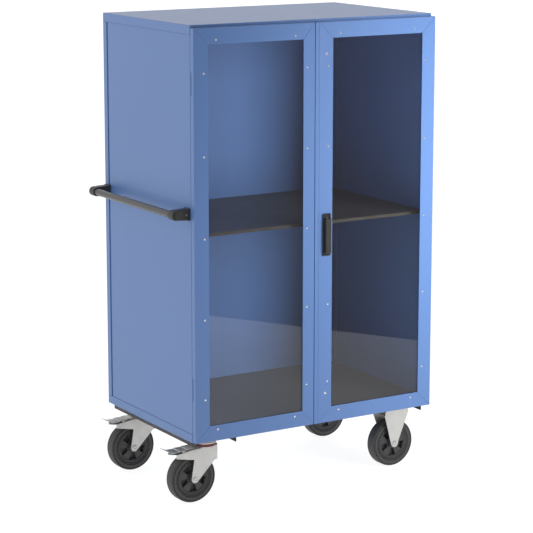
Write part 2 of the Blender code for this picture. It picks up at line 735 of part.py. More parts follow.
def make_rods(door, slides, pane):
    """Rods, their guides on the door, and the pane's notches round the guides and the handle's boss."""
    for level, side, ahead in (("upper", 1, 1), ("lower", -1, -1)):
        outline = rod_outline(side, ahead, rod_ends[level])
        bar = add_prism(bmesh.new(), outline, "Y", rod_front, rod_back)
        put(level + "_rod", bar, zinc, slides[level])
        z = spread(guide_heights[level], GUIDE_HEIGHT)
        x = spread(lock_x, GUIDE_WIDTH)
        high = (x[1], rod_back + GUIDE_CLEARANCE + GUIDE_WALL, z[1])
        block = add_block(bmesh.new(), (x[0], skin_back + GAP, z[0]), high)
        guide = put(level + "_rod_guide", block, black_plastic, door)
        slot = spread(lock_x, ROD_WIDTH + 2 * GUIDE_CLEARANCE)
        low = (slot[0], rod_front - GUIDE_CLEARANCE, z[0] - OVERRUN)
        cut(guide, add_block(bmesh.new(), low, (slot[1], rod_back + GUIDE_CLEARANCE, z[1] + OVERRUN)))
        notch_pane(pane, GUIDE_WIDTH, guide_heights[level], GUIDE_HEIGHT)
    notch_pane(pane, BOSS_RADIUS * 2, spindle_z, BOSS_RADIUS * 2)


def notch_pane(pane, width, middle, height):
    x = spread(lock_x, width + 2 * PANE_NOTCH_CLEARANCE)
    z = spread(middle, height + 2 * PANE_NOTCH_CLEARANCE)
    high = (x[1], skin_back + GAP + PANE_THICK + OVERRUN, z[1])
    cut(pane, add_block(bmesh.new(), (x[0], skin_back + GAP - OVERRUN, z[0]), high))


def make_doors():
    hinges = {}
    for side, (edge, inward) in hinge_sides.items():
        place = (edge + inward * HINGE_INSET, hinge_y, door_middle)
        hinges[side] = pivot(side + "_door_axis", place)
    left = make_door(
        "left",
        (x_left, left_free_x),
        (FRAME_WIDTH, MEETING_WIDTH),
        ("hinge_stile", "meeting_stile"),
        hinges["left"],
    )
    right = make_door(
        "right",
        (right_frame_x, x_right),
        (FRAME_WIDTH, FRAME_WIDTH),
        ("lock_stile", "hinge_stile"),
        hinges["right"],
    )
    for level in hinge_heights:
        make_hinge("left", level, left["hinge_stile"], hinges["left"])
        make_hinge("right", level, right["hinge_stile"], hinges["right"])

    strip_end = strip_x + STRIP_WIDTH
    folds = [(strip_x, door_back), (strip_x, door_front), (strip_end, door_front), (strip_end, door_back)]
    strip = add_prism(bmesh.new(), thick_path(folds, SHEET), "Z", door_low, door_high)
    put("closing_strip", strip, blue, hinges["right"])

    turn = pivot("handle_turn_axis", (lock_x, door_front, spindle_z), hinges["right"])
    lift = pivot("lever_lift_axis", (lock_x, lever_pin_y, spindle_z), turn)
    slides = {}
    for level, z in rod_ends.items():
        slides[level] = pivot(level + "_rod_slide", (lock_x, rod_front, z), hinges["right"])
    make_dish(hinges["right"], right["lock_stile"])
    make_lever(turn, lift)
    make_rods(hinges["right"], slides, right["pane"])


def both_sides(y, half_profile):
    """A profile from its (radius, distance from the middle) half, closed by the half's mirror image."""
    return [(r, y + out) for r, out in half_profile] + [(r, y - out) for r, out in half_profile[::-1]]


def make_wheel(name, x, y, spin):
    flat = math.pi / TYRE_SIDES
    bore = RIM_RADIUS + GAP
    tyre = [
        (bore, RIM_WIDTH / 2 - GAP),
        (bore + BEAD_HEIGHT, RIM_WIDTH / 2),
        ((WHEEL_RADIUS + RIM_RADIUS) / 2, WHEEL_WIDTH / 2),
        (WHEEL_RADIUS - TYRE_SHOULDER, WHEEL_WIDTH / 2 - SHOULDER_INSET),
        (WHEEL_RADIUS, WHEEL_WIDTH / 2 - TREAD_EDGE),
    ]
    bm = add_turned(bmesh.new(), both_sides(y, tyre), "Y", (x, axle_z), TYRE_SIDES, flat)
    put(name + "_tyre", bm, rubber, spin, smooth=True)

    inner = RIM_RADIUS - RIM_WALL
    hub_out = FORK_WIDTH / 2 - CHEEK_THICK - HUB_PLAY
    rim = [
        (AXLE_RADIUS + HUB_CLEARANCE, hub_out),
        (HUB_RADIUS - RIM_EDGE, hub_out),
        (HUB_RADIUS, DISC_WIDTH / 2),
        (inner - RIM_EDGE, DISC_WIDTH / 2),
        (inner, RIM_WIDTH / 2),
        (RIM_RADIUS, RIM_WIDTH / 2),
    ]
    bm = add_turned(bmesh.new(), both_sides(y, rim), "Y", (x, axle_z), TYRE_SIDES, flat)
    piece = put(name + "_rim", bm, rim_plastic, spin, smooth=True)
    near = HUB_RADIUS + POCKET_MARGIN
    far = inner - POCKET_MARGIN
    half_angle = math.pi / POCKETS - POCKET_RIB / (near + far)
    pockets = bmesh.new()
    for i in range(POCKETS):
        middle = math.tau * (i + POCKET_TURN) / POCKETS
        outline = []
        for radius, turns in ((near, (-1, 1)), (far, (1, 0, -1))):
            for turn in turns:
                angle = middle + turn * half_angle
                outline.append((x + radius * math.cos(angle), axle_z + radius * math.sin(angle)))
        for outward in (-1, 1):
            ends = sorted(y + outward * (DISC_WIDTH / 2 + end) for end in (-POCKET_DEPTH, OVERRUN))
            add_prism(pockets, outline, "Y", *ends)
    cut(piece, pockets)


def make_axle(name, x, y, parent=None):
    out = FORK_WIDTH / 2 + GAP
    half = [(AXLE_HEAD_RADIUS, out + AXLE_HEAD_HEIGHT), (AXLE_HEAD_RADIUS, out), (AXLE_RADIUS, out)]
    ends = [(0, y + out + AXLE_HEAD_HEIGHT), (0, y - out - AXLE_HEAD_HEIGHT)]
    profile = [ends[0], *both_sides(y, half), ends[1]]
    bm = add_turned(bmesh.new(), profile, "Y", (x, axle_z), SPINDLE_SIDES)
    put(name + "_axle", bm, zinc, parent, smooth=True)


def bolt_holes(x, ys, low, high):
    """Cutter for the four holes at each castor."""
    holes = bmesh.new()
    for y in ys:
        for along in spread(x, HOLE_PITCH_LONG):
            for across in spread(y, HOLE_PITCH_SHORT):
                add_rod(holes, HOLE_RADIUS, "Z", (along, across), low - OVERRUN, high + OVERRUN, HOLE_SIDES)
    return holes


def castor_plate(x, y):
    low_x, high_x = spread(x, PLATE_LENGTH)
    low_y, high_y = spread(y, PLATE_WIDTH)
    return add_block(bmesh.new(), (low_x, low_y, plate_low), (high_x, high_y, plate_top))


def tip_arc(x, start, end):
    """The round end of a fork's leg, through its lowest point."""
    points = []
    for i in range(TIP_STEPS + 1):
        angle = start + (end - start) * i / TIP_STEPS
        points.append((x + TIP_RADIUS * math.cos(angle), axle_z + TIP_RADIUS * math.sin(angle)))
    return points


def cheeks(outline, y):
    bm = bmesh.new()
    for outward in (-1, 1):
        ends = sorted(y + outward * out for out in (FORK_WIDTH / 2, FORK_WIDTH / 2 - CHEEK_THICK))
        add_prism(bm, outline, "Y", *ends)
    return bm


def join_apron(fork, x, y):
    """A swivel fork's rounded front, closed by the crown's thickness on top."""
    wall, inner = [], []
    for i in range(APRON_STEPS + 1):
        angle = math.pi * i / APRON_STEPS - RIGHT_ANGLE
        for points, thick in ((wall, 0), (inner, CHEEK_THICK)):
            across = (FORK_WIDTH / 2 - thick) * math.sin(angle)
            points.append((x + (APRON_DEPTH - thick) * math.cos(angle), y + across))
    wall = [(x - BITE, wall[0][1]), *wall, (x - BITE, wall[-1][1])]
    inner = [(x - BITE, inner[0][1]), *inner, (x - BITE, inner[-1][1])]
    join(fork, add_prism(bmesh.new(), wall + inner[::-1], "Z", axle_z + KNEE_RISE, crown_low + BITE))
    join(fork, add_prism(bmesh.new(), wall, "Z", crown_low, crown_top))


def across_fork(radius, place, y):
    return add_rod(bmesh.new(), radius, "Y", place, *spread(y, FORK_WIDTH + 2 * OVERRUN), SPINDLE_SIDES)


def make_top_plate(name, x, y):
    """Plate, upper race and king pin, which is headed over below the fork's crown."""
    plate = put(name + "_top_plate", castor_plate(x, y), zinc)
    race = [
        (0, crown_low - GAP - KING_HEAD_HEIGHT),
        (KING_HEAD_RADIUS, crown_low - GAP - KING_HEAD_HEIGHT),
        (KING_HEAD_RADIUS, crown_low - GAP),
        (KING_PIN_RADIUS, crown_low - GAP),
        (KING_PIN_RADIUS, race_low),
        (RACE_RADIUS - RACE_EDGE / 2, race_low),
        (RACE_RADIUS, race_low + RACE_EDGE),
        (RACE_TOP_RADIUS, plate_low + BITE),
        (0, plate_low + BITE),
    ]
    join(plate, add_turned(bmesh.new(), race, "Z", (x, y), RING_SIDES))
    cut(plate, bolt_holes(x, [y], plate_low, plate_top))


def make_swivel_castor(end):
    name = end + "_left"
    x, y = castor_x["left"], castor_y[end]
    swivel = pivot(name + "_swivel_axis", (x, y, 0))
    wheel_x = x - TRAIL
    spin = pivot(name + "_wheel_axis", (wheel_x, y, axle_z), swivel)
    make_top_plate(name, x, y)
    inside = CROWN_RADIUS - SEAL_WALL
    ring = [(inside, seal_low), (CROWN_RADIUS, seal_low), (CROWN_RADIUS, seal_top), (inside, seal_top)]
    seal = add_turned(bmesh.new(), ring, "Z", (x, y), RING_SIDES)
    put(name + "_seal", seal, seal_red, swivel, smooth=True)

    leg_lean = math.atan2(KNEE_RISE, x + FORK_FRONT - wheel_x)
    outline = tip_arc(wheel_x, -math.pi, leg_lean - RIGHT_ANGLE)
    outline += [
        (x + FORK_FRONT, axle_z + KNEE_RISE),
        (x + FORK_FRONT, crown_top),
        (x - CROWN_BACK, crown_top - CROWN_THICK),
        (x - ARM_REACH, crown_top - ARM_DROP),
        (x - ARM_REACH, crown_top - ARM_DROP - ARM_END_DEPTH),
        (wheel_x - ARM_ROOT_BACK, crown_top - ARM_ROOT_DROP),
    ]
    fork = put(name + "_fork", cheeks(outline, y), zinc, swivel)
    low_y, high_y = spread(y, FORK_WIDTH - 2 * BITE)
    low = (x - CROWN_BACK / 2, low_y, crown_low)
    join(fork, add_block(bmesh.new(), low, (x + FORK_FRONT - BITE, high_y, crown_top - BITE / 2)))
    join(fork, add_rod(bmesh.new(), CROWN_RADIUS, "Z", (x, y), crown_low + BITE, crown_top, RING_SIDES))
    join_apron(fork, x + FORK_FRONT, y)
    radius = KING_PIN_RADIUS + KING_PIN_CLEARANCE
    low_z, high_z = crown_low - OVERRUN, crown_top + OVERRUN
    cut(fork, add_rod(bmesh.new(), radius, "Z", (x, y), low_z, high_z, SPINDLE_SIDES))
    cut(fork, across_fork(AXLE_RADIUS + AXLE_CLEARANCE, (wheel_x, axle_z), y))
    pedal_place = (x - PEDAL_PIVOT_BACK, crown_top - PEDAL_PIVOT_DROP)
    cut(fork, across_fork(PEDAL_PIN_RADIUS + PEDAL_PIN_CLEARANCE, pedal_place, y))
    make_axle(name, wheel_x, y, swivel)
    make_wheel(name, wheel_x, y, spin)
    make_pedal(name, x, y, pedal_place, swivel)


def make_pedal(name, x, y, place, swivel):
    """Stepped brake pedal with its cross pin, its shoe over the tyre and the blade that is trodden on."""
    tip = pivot(name + "_pedal_axis", (place[0], y, place[1]), swivel)
    top = crown_top - PEDAL_DROP
    run = (PEDAL_REACH - PEDAL_START) / (PEDAL_STEPS + 1)
    folds = [(x - PEDAL_START, top)]
    for i in range(PEDAL_STEPS):
        edge = x - PEDAL_START - run * (i + 1)
        folds.append((edge, top - PEDAL_STEP * i))
        folds.append((edge - PEDAL_STEP, top - PEDAL_STEP * (i + 1)))
    end = top - PEDAL_STEP * PEDAL_STEPS
    folds.append((x - PEDAL_REACH, end))
    tread = add_prism(bmesh.new(), thick_path(folds, PEDAL_THICK), "Y", *spread(y, PEDAL_WIDTH))
    pedal = put(name + "_pedal", tread, zinc, tip)
    folds = [(x - PEDAL_REACH + PEDAL_THICK, end - BITE), (x - BLADE_REACH, top + BLADE_RISE)]
    blade = thick_path(folds, BLADE_THICK)
    join(pedal, add_prism(bmesh.new(), blade, "Y", *spread(y, BLADE_WIDTH)))
    front = place[0] + PEDAL_PIN_RADIUS + BITE
    back = place[0] - SHOE_REACH
    drop = math.sqrt(WHEEL_RADIUS**2 - (back - (x - TRAIL)) ** 2)
    shoe = [
        (front, top - PEDAL_THICK / 2),
        (front, axle_z + WHEEL_RADIUS + SHOE_CLEARANCE),
        (back, axle_z + drop + SHOE_CLEARANCE),
        (back - PEDAL_THICK, top - PEDAL_STEP - PEDAL_THICK / 2),
    ]
    join(pedal, add_prism(bmesh.new(), shoe, "Y", *spread(y, SHOE_WIDTH)))
    join(pedal, add_rod(bmesh.new(), PEDAL_PIN_RADIUS, "Y", place, *spread(y, FORK_WIDTH), SPINDLE_SIDES))


def fixed_leg_rows():
    """(height, half width, place of the fold) up a fixed fork's leg."""
    widest = plate_low - FIXED_WIDEST_DROP
    taper = math.atan2(FIXED_LEG_HALF - TIP_RADIUS, widest - axle_z)
    rows = []
    for i in range(1, TIP_STEPS + 1):
        angle = (RIGHT_ANGLE - taper) * i / TIP_STEPS - RIGHT_ANGLE
        half = TIP_RADIUS * math.cos(angle)
        rows.append((axle_z + TIP_RADIUS * math.sin(angle), half, half * WING_FOOT_SHARE))
    foot_z, foot_half, foot_fold = rows[-1]
    bend = axle_z + FIXED_BEND_RISE
    for z in (bend, widest, plate_low - FIXED_NECK_DROP, plate_low + BITE):
        half = FIXED_TOP_HALF
        if z <= widest:
            half = foot_half + (FIXED_LEG_HALF - foot_half) * (z - foot_z) / (widest - foot_z)
        fold = foot_fold + (WING_FOLD - foot_fold) * (z - foot_z) / (plate_low - foot_z)
        rows.append((z, half, fold))
    return rows


def add_fixed_leg(bm, x, y, outward):
    """A flat leg that leans out above the axle, with its two edges folded in towards the wheel."""
    rings = []
    for z, half, fold in fixed_leg_rows():
        rise = max(0, z - axle_z - FIXED_BEND_RISE)
        out = FORK_WIDTH / 2 + FIXED_FLARE * rise / (plate_low - axle_z - FIXED_BEND_RISE)
        wing = WING_SLOPE * (half - fold) if rise > BITE else 0
        face = [(-half, out - wing), (-fold, out), (fold, out), (half, out - wing)]
        section = face + [(across, far - CHEEK_THICK) for across, far in face[::-1]]
        rings.append([bm.verts.new((x + across, y + outward * far, z)) for across, far in section])
    for first, second in zip(rings, rings[1:]):
        add_band(bm, first, second)
    for ring in (rings[0], rings[-1]):
        bm.faces.new(ring)
    bmesh.ops.triangulate(bm, faces=bm.faces)


def make_fixed_castor(end):
    name = end + "_right"
    x, y = castor_x["right"], castor_y[end]
    spin = pivot(name + "_wheel_axis", (x, y, axle_z))
    legs = bmesh.new()
    for outward in (-1, 1):
        add_fixed_leg(legs, x, y, outward)
    fork = put(name + "_fork", legs, zinc)
    join(fork, castor_plate(x, y))
    cut(fork, bolt_holes(x, [y], plate_low, plate_top))
    cut(fork, across_fork(AXLE_RADIUS + AXLE_CLEARANCE, (x, axle_z), y))
    make_axle(name, x, y)
    make_wheel(name, x, y, spin)


def make_channels():
    for side, x in castor_x.items():
        left, right = spread(x, CHANNEL_WIDTH)
        bottom = z_base - CHANNEL_DEPTH
        folds = [(right, bottom), (right, web_top), (left, web_top), (left, bottom)]
        start, end = y_front + CHANNEL_INSET, y_back - CHANNEL_BACK_INSET
        bm = add_prism(bmesh.new(), thick_path(folds, CHANNEL_THICK), "Y", start, end)
        channel = put(side + "_chassis_channel", bm, black_paint)
        cut(channel, bolt_holes(x, castor_y.values(), web_low, web_top))


clear_scene()

blue = finish("blue_paint", (0.13, 0.22, 0.44), 0.45)
dark_board = finish("dark_board", (0.045, 0.048, 0.058), 0.55)
black_paint = finish("black_paint", (0.03, 0.03, 0.03), 0.5)
black_plastic = finish("black_plastic", (0.035, 0.035, 0.033), 0.5)
clear_plastic = finish("clear_plastic", (0.8, 0.85, 0.88), 0.08, 0.0, 0.25)
zinc = finish("zinc_plate", (0.62, 0.62, 0.6), 0.38, 0.85)
seal_red = finish("red_seal", (0.25, 0.03, 0.04), 0.5)
rubber = finish("black_rubber", (0.035, 0.035, 0.035), 0.8)
rim_plastic = finish("rim_plastic", (0.04, 0.04, 0.042), 0.55)

make_shell()
make_sides()
make_boards()
make_push_handle()
make_doors()
make_channels()
for castor_end in castor_y:
    make_swivel_castor(castor_end)
    make_fixed_castor(castor_end)
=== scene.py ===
# Cupboard trolley with two glazed doors, a push handle and four castors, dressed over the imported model.
# Metres, +Z up. The doors face -Y and the push handle is at the -X end.
import json
import math

import bmesh
import bpy
from mathutils import Matrix, Vector


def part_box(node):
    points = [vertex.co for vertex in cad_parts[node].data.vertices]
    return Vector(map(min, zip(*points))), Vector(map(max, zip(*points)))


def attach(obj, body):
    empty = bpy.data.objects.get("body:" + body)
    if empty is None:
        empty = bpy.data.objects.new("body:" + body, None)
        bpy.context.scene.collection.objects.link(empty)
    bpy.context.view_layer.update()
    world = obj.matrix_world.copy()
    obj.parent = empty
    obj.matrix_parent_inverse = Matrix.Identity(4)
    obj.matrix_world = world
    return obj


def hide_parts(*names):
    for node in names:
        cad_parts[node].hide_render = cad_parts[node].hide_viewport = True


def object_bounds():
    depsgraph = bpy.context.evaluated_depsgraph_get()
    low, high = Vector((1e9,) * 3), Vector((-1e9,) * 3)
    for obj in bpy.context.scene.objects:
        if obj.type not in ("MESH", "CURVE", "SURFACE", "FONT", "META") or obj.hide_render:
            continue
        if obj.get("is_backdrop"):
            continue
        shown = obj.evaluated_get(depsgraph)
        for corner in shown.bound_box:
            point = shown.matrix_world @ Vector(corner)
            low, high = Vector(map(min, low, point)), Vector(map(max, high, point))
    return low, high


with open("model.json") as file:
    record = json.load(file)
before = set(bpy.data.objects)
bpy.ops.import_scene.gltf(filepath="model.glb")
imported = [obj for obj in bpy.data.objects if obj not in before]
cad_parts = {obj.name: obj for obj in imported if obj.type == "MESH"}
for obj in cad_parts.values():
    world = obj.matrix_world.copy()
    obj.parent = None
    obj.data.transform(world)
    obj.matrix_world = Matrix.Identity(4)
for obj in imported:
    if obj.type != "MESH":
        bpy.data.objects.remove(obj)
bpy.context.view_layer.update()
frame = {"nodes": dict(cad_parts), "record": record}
nodes = frame["nodes"]
record = frame["record"]
bodyOf = {n: b for b, group in record["behaviour"]["bodies"].items() for n in group}
slotOf = {s["node"]: s["material_slot"] for s in record["subparts"]}


# Materials, all on object coordinates in metres

def startMaterial(name):
    material = bpy.data.materials.new(name)
    material.use_nodes = True
    tree = material.node_tree
    coords = tree.nodes.new("ShaderNodeTexCoord").outputs["Object"]
    return material, tree, tree.nodes["Principled BSDF"], coords


def addNoise(tree, coords, scale, detail=3.0):
    noise = tree.nodes.new("ShaderNodeTexNoise")
    noise.inputs["Scale"].default_value = scale
    noise.inputs["Detail"].default_value = detail
    tree.links.new(coords, noise.inputs["Vector"])
    return noise.outputs["Fac"]


def mixColours(tree, factor, first, second):
    mix = tree.nodes.new("ShaderNodeMix")
    mix.data_type = "RGBA"
    for socket, value in ((mix.inputs[6], first), (mix.inputs[7], second)):
        if isinstance(value, tuple):
            socket.default_value = (*value, 1.0)
        else:
            tree.links.new(value, socket)
    tree.links.new(factor, mix.inputs[0])
    return mix.outputs[2]


def toRange(tree, value, low, high, start=0.3, stop=0.7):
    spread = tree.nodes.new("ShaderNodeMapRange")
    tree.links.new(value, spread.inputs["Value"])
    for socket, number in (("From Min", start), ("From Max", stop), ("To Min", low), ("To Max", high)):
        spread.inputs[socket].default_value = number
    return spread.outputs["Result"]


def addBump(tree, shader, height, strength, depth):
    bump = tree.nodes.new("ShaderNodeBump")
    bump.inputs["Strength"].default_value = strength
    bump.inputs["Distance"].default_value = depth
    tree.links.new(height, bump.inputs["Height"])
    last = shader.inputs["Normal"]
    if last.is_linked:
        tree.links.new(last.links[0].from_socket, bump.inputs["Normal"])
    tree.links.new(bump.outputs["Normal"], last)


def darker(colour, share):
    return tuple(c * share for c in colour)


# Sizes of a pattern are its scale in waves per metre, so a higher number is finer
anyCoat = {"driftScale": 2.3, "grainFiner": 2.5, "grainColour": (0.6, 0.68, 0.8), "grainFrom": (0.45, 0.75),
           "glossScale": 38.0, "depth": 0.0004}
powderBlue = {**anyCoat, "colour": (0.096, 0.188, 0.418), "drift": 0.97, "roughness": (0.35, 0.38),
              "peel": 620.0, "grain": 0.02, "bump": 0.004}


def makeCoat(name, coat):
    # Fine orange peel, a slow drift in depth of colour and a speck of lighter grain
    material, tree, shader, coords = startMaterial(name)
    slow = toRange(tree, addNoise(tree, coords, coat["driftScale"], 2.0), 0.0, 1.0)
    base = mixColours(tree, slow, darker(coat["colour"], coat["drift"]), coat["colour"])
    specks = addNoise(tree, coords, coat["peel"] * coat["grainFiner"], 1.0)
    grain = toRange(tree, specks, 0.0, coat["grain"], *coat["grainFrom"])
    tree.links.new(mixColours(tree, grain, base, coat["grainColour"]), shader.inputs["Base Color"])
    gloss = toRange(tree, addNoise(tree, coords, coat["glossScale"]), *coat["roughness"])
    tree.links.new(gloss, shader.inputs["Roughness"])
    addBump(tree, shader, addNoise(tree, coords, coat["peel"], 2.0), coat["bump"], coat["depth"])
    return material


plating = {"colour": (0.60, 0.595, 0.575), "shade": 0.90, "metal": 0.70, "roughness": (0.34, 0.48),
           "crystals": 260.0, "crystalShade": 0.93, "crystalShare": 0.8, "crystalEdge": 0.35,
           "cloudScale": 24.0, "glossScale": 60.0, "grit": 900.0, "bump": 0.06, "depth": 0.0002}


def makePlating(name, plate):
    # Small crystal patches, cloudy colour and gloss, and a fine grit
    material, tree, shader, coords = startMaterial(name)
    cells = tree.nodes.new("ShaderNodeTexVoronoi")
    cells.inputs["Scale"].default_value = plate["crystals"]
    tree.links.new(coords, cells.inputs["Vector"])
    patches = toRange(tree, cells.outputs["Distance"], 0.0, plate["crystalEdge"], 0.0, plate["crystalShare"])
    cloud = toRange(tree, addNoise(tree, coords, plate["cloudScale"]), 0.0, 1.0)
    base = mixColours(tree, cloud, plate["colour"], darker(plate["colour"], plate["shade"]))
    base = mixColours(tree, patches, base, darker(plate["colour"], plate["crystalShade"]))
    tree.links.new(base, shader.inputs["Base Color"])
    shader.inputs["Metallic"].default_value = plate["metal"]
    gloss = toRange(tree, addNoise(tree, coords, plate["glossScale"]), *plate["roughness"])
    tree.links.new(gloss, shader.inputs["Roughness"])
    addBump(tree, shader, addNoise(tree, coords, plate["grit"], 2.0), plate["bump"], plate["depth"])
    return material


mouldedLook = {"bloomScale": 17.0, "bloomPaler": 1.22, "bloomLift": 0.002, "glossScale": 80.0,
               "depth": 0.0003}


def makeMoulded(name, colour, roughness, grain, strength=0.18):
    # A fine eroded grain and a faint paler bloom
    look = mouldedLook
    material, tree, shader, coords = startMaterial(name)
    bloom = toRange(tree, addNoise(tree, coords, look["bloomScale"], 4.0), 0.0, 1.0)
    paler = tuple(c * look["bloomPaler"] + look["bloomLift"] for c in colour)
    tree.links.new(mixColours(tree, bloom, colour, paler), shader.inputs["Base Color"])
    gloss = toRange(tree, addNoise(tree, coords, look["glossScale"]), *roughness)
    tree.links.new(gloss, shader.inputs["Roughness"])
    addBump(tree, shader, addNoise(tree, coords, grain, 2.0), strength, look["depth"])
    return material


boardLook = {
    "face": (0.044, 0.043, 0.043), "fleck": 1.35, "fleckScale": 210.0, "fleckShare": 0.2,
    "edge": (0.050, 0.046, 0.038), "ply": 0.0014, "plyShade": 0.72, "plyWander": 0.6,
    "roughness": (0.40, 0.44), "glossScale": 30.0, "grit": 520.0, "bump": 0.01, "depth": 0.0002,
}


def makeBoard(name, board):
    # Paler flecks on its faces, fine plies along its edges
    material, tree, shader, coords = startMaterial(name)
    parts = tree.nodes.new("ShaderNodeSeparateXYZ")
    tree.links.new(tree.nodes.new("ShaderNodeNewGeometry").outputs["Normal"], parts.inputs[0])
    upright = tree.nodes.new("ShaderNodeMath")
    upright.operation = "ABSOLUTE"
    tree.links.new(parts.outputs["Z"], upright.inputs[0])
    plies = tree.nodes.new("ShaderNodeTexWave")
    plies.bands_direction = "Z"
    plies.inputs["Scale"].default_value = math.pi / board["ply"] / 10
    plies.inputs["Distortion"].default_value = board["plyWander"]
    tree.links.new(coords, plies.inputs["Vector"])
    rim = mixColours(tree, plies.outputs["Fac"], darker(board["edge"], board["plyShade"]), board["edge"])
    fleck = toRange(tree, addNoise(tree, coords, board["fleckScale"]), 0.0, board["fleckShare"])
    face = mixColours(tree, fleck, board["face"], darker(board["face"], board["fleck"]))
    base = mixColours(tree, toRange(tree, upright.outputs[0], 0, 1), rim, face)
    tree.links.new(base, shader.inputs["Base Color"])
    gloss = toRange(tree, addNoise(tree, coords, board["glossScale"]), *board["roughness"])
    tree.links.new(gloss, shader.inputs["Roughness"])
    addBump(tree, shader, addNoise(tree, coords, board["grit"], 1.0), board["bump"], board["depth"])
    return material


paneLook = {"through": (0.975, 0.98, 0.985), "film": (1.0, 0.98, 0.96), "straightOn": 0.038, "edgeOn": 0.93,
            "steepness": 5.0, "roughness": (0.004, 0.010), "glossScale": 7.0}


def makePane(name, pane):
    # Lets light through and mirrors by the angle it is met at
    material, tree, shader, coords = startMaterial(name)
    clear = tree.nodes.new("ShaderNodeBsdfTransparent")
    clear.inputs["Color"].default_value = (*pane["through"], 1.0)
    shader.inputs["Base Color"].default_value = (*pane["film"], 1.0)
    shader.inputs["Metallic"].default_value = 1.0
    gloss = toRange(tree, addNoise(tree, coords, pane["glossScale"], 4.0), *pane["roughness"])
    tree.links.new(gloss, shader.inputs["Roughness"])
    slant = tree.nodes.new("ShaderNodeLayerWeight")  # the same from both sides of the sheet
    slant.inputs["Blend"].default_value = 0.5
    steep = tree.nodes.new("ShaderNodeMath")
    steep.operation = "POWER"
    tree.links.new(slant.outputs["Facing"], steep.inputs[0])
    steep.inputs[1].default_value = pane["steepness"]
    mix = tree.nodes.new("ShaderNodeMixShader")
    mirrored = toRange(tree, steep.outputs[0], pane["straightOn"], pane["edgeOn"], 0.0, 1.0)
    tree.links.new(mirrored, mix.inputs[0])
    tree.links.new(clear.outputs[0], mix.inputs[1])
    tree.links.new(shader.outputs[0], mix.inputs[2])
    tree.links.new(mix.outputs[0], tree.nodes["Material Output"].inputs["Surface"])
    return material


tubeGrey = {**anyCoat, "colour": (0.048, 0.046, 0.043), "drift": 0.9, "roughness": (0.24, 0.32),
            "peel": 800.0, "grain": 0.04, "bump": 0.05}
chassisBlack = {**anyCoat, "colour": (0.022, 0.022, 0.021), "drift": 0.85, "roughness": (0.42, 0.52),
                "peel": 700.0, "grain": 0.04, "bump": 0.08}

finishes = {
    "blue_paint": makeCoat("bluePowderCoat", powderBlue),
    "dark_board": makeBoard("filmFacedBoard", boardLook),
    "black_paint": makeCoat("blackChassisPaint", chassisBlack),
    "black_plastic": makeMoulded("blackPolyamide", (0.026, 0.026, 0.025), (0.42, 0.55), 1400.0),
    "clear_plastic": makePane("clearAcrylic", paneLook),
    "zinc_plate": makePlating("brightZinc", plating),
    "red_seal": makeMoulded("redSealPlastic", (0.135, 0.016, 0.020), (0.38, 0.48), 900.0),
    "black_rubber": makeMoulded("blackRubber", (0.040, 0.040, 0.040), (0.52, 0.68), 700.0, 0.25),
    "rim_plastic": makeMoulded("blackRimPlastic", (0.034, 0.034, 0.036), (0.38, 0.5), 1100.0),
}
tubeFinish = makeCoat("greyTubeCoat", tubeGrey)
# The bracket screws get the zinc plating painted much darker, as painted shade of the recess round each screw
# head
screwFinishWithPaintedShade = makePlating("zincWithPaintedRecessShade", {**plating, "colour": (0.24, 0.24, 0.23)})
rivetLook = {**plating, "colour": (0.88, 0.87, 0.85), "metal": 0.9, "roughness": (0.2, 0.32)}
rivetFinish = makePlating("brightAluminium", rivetLook)
print("materials:", len(bpy.data.materials))


# Helpers for pieces

def faceWidth(face):
    return face.calc_area() / max(edge.calc_length() for edge in face.edges)


def addPiece(name, mesh, material, body, stands=()):
    mesh.materials.clear()
    mesh.materials.append(material)
    piece = bpy.data.objects.new(name, mesh)
    bpy.context.collection.objects.link(piece)
    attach(piece, body)
    if stands:
        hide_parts(*stands)
    return piece


def settle(piece):
    # Turns a piece with modifiers into the plain mesh that they make
    bpy.context.view_layer.update()
    seen = piece.evaluated_get(bpy.context.evaluated_depsgraph_get())
    mesh = bpy.data.meshes.new_from_object(seen)
    old = piece.data
    piece.modifiers.clear()
    piece.data = mesh
    bpy.data.meshes.remove(old)
    return mesh


# Edges from this angle and length on are rounded, and faces narrower than "narrow" are cut edges of a sheet.
# A radius takes at most this share of the narrower face beside its edge.
edgeRules = {"from": 33, "shortest": 0.0025, "narrow": 0.0028, "share": 0.42, "steps": 3}
weldDistance = 0.000002
flatAngle = math.radians(0.6)


def joinFaces(bm):
    # Makes whole faces of the loose triangles of a mesh
    bmesh.ops.remove_doubles(bm, verts=bm.verts, dist=weldDistance)
    bmesh.ops.dissolve_limit(bm, angle_limit=flatAngle, verts=bm.verts, edges=bm.edges)


def roundEdges(bm, name, look):
    # Folds and cut edges each get their own radius
    look = {**edgeRules, **look}
    weight = bm.edges.layers.float.new("bevel_weight_edge")
    widest = max(look["fold"], look["cut"])
    for edge in bm.edges:
        if len(edge.link_faces) != 2 or edge.calc_face_angle(0.0) < math.radians(look["from"]):
            continue
        if edge.calc_length() < look["shortest"]:
            continue
        narrow = min(faceWidth(face) for face in edge.link_faces)
        radius = look["cut"] if narrow < look["narrow"] or not edge.is_convex else look["fold"]
        edge[weight] = min(1.0, min(radius, narrow * look["share"]) / widest)
    mesh = bpy.data.meshes.new(name)
    bm.to_mesh(mesh)
    bm.free()
    shape = bpy.data.objects.new(name + "Shape", mesh)
    bpy.context.collection.objects.link(shape)
    bevel = shape.modifiers.new("edges", "BEVEL")
    bevel.limit_method = "WEIGHT"
    bevel.width = widest
    bevel.segments = look["steps"]
    bevel.use_clamp_overlap = False
    mesh = settle(shape)
    bpy.data.objects.remove(shape)
    mesh.name = name
    return mesh


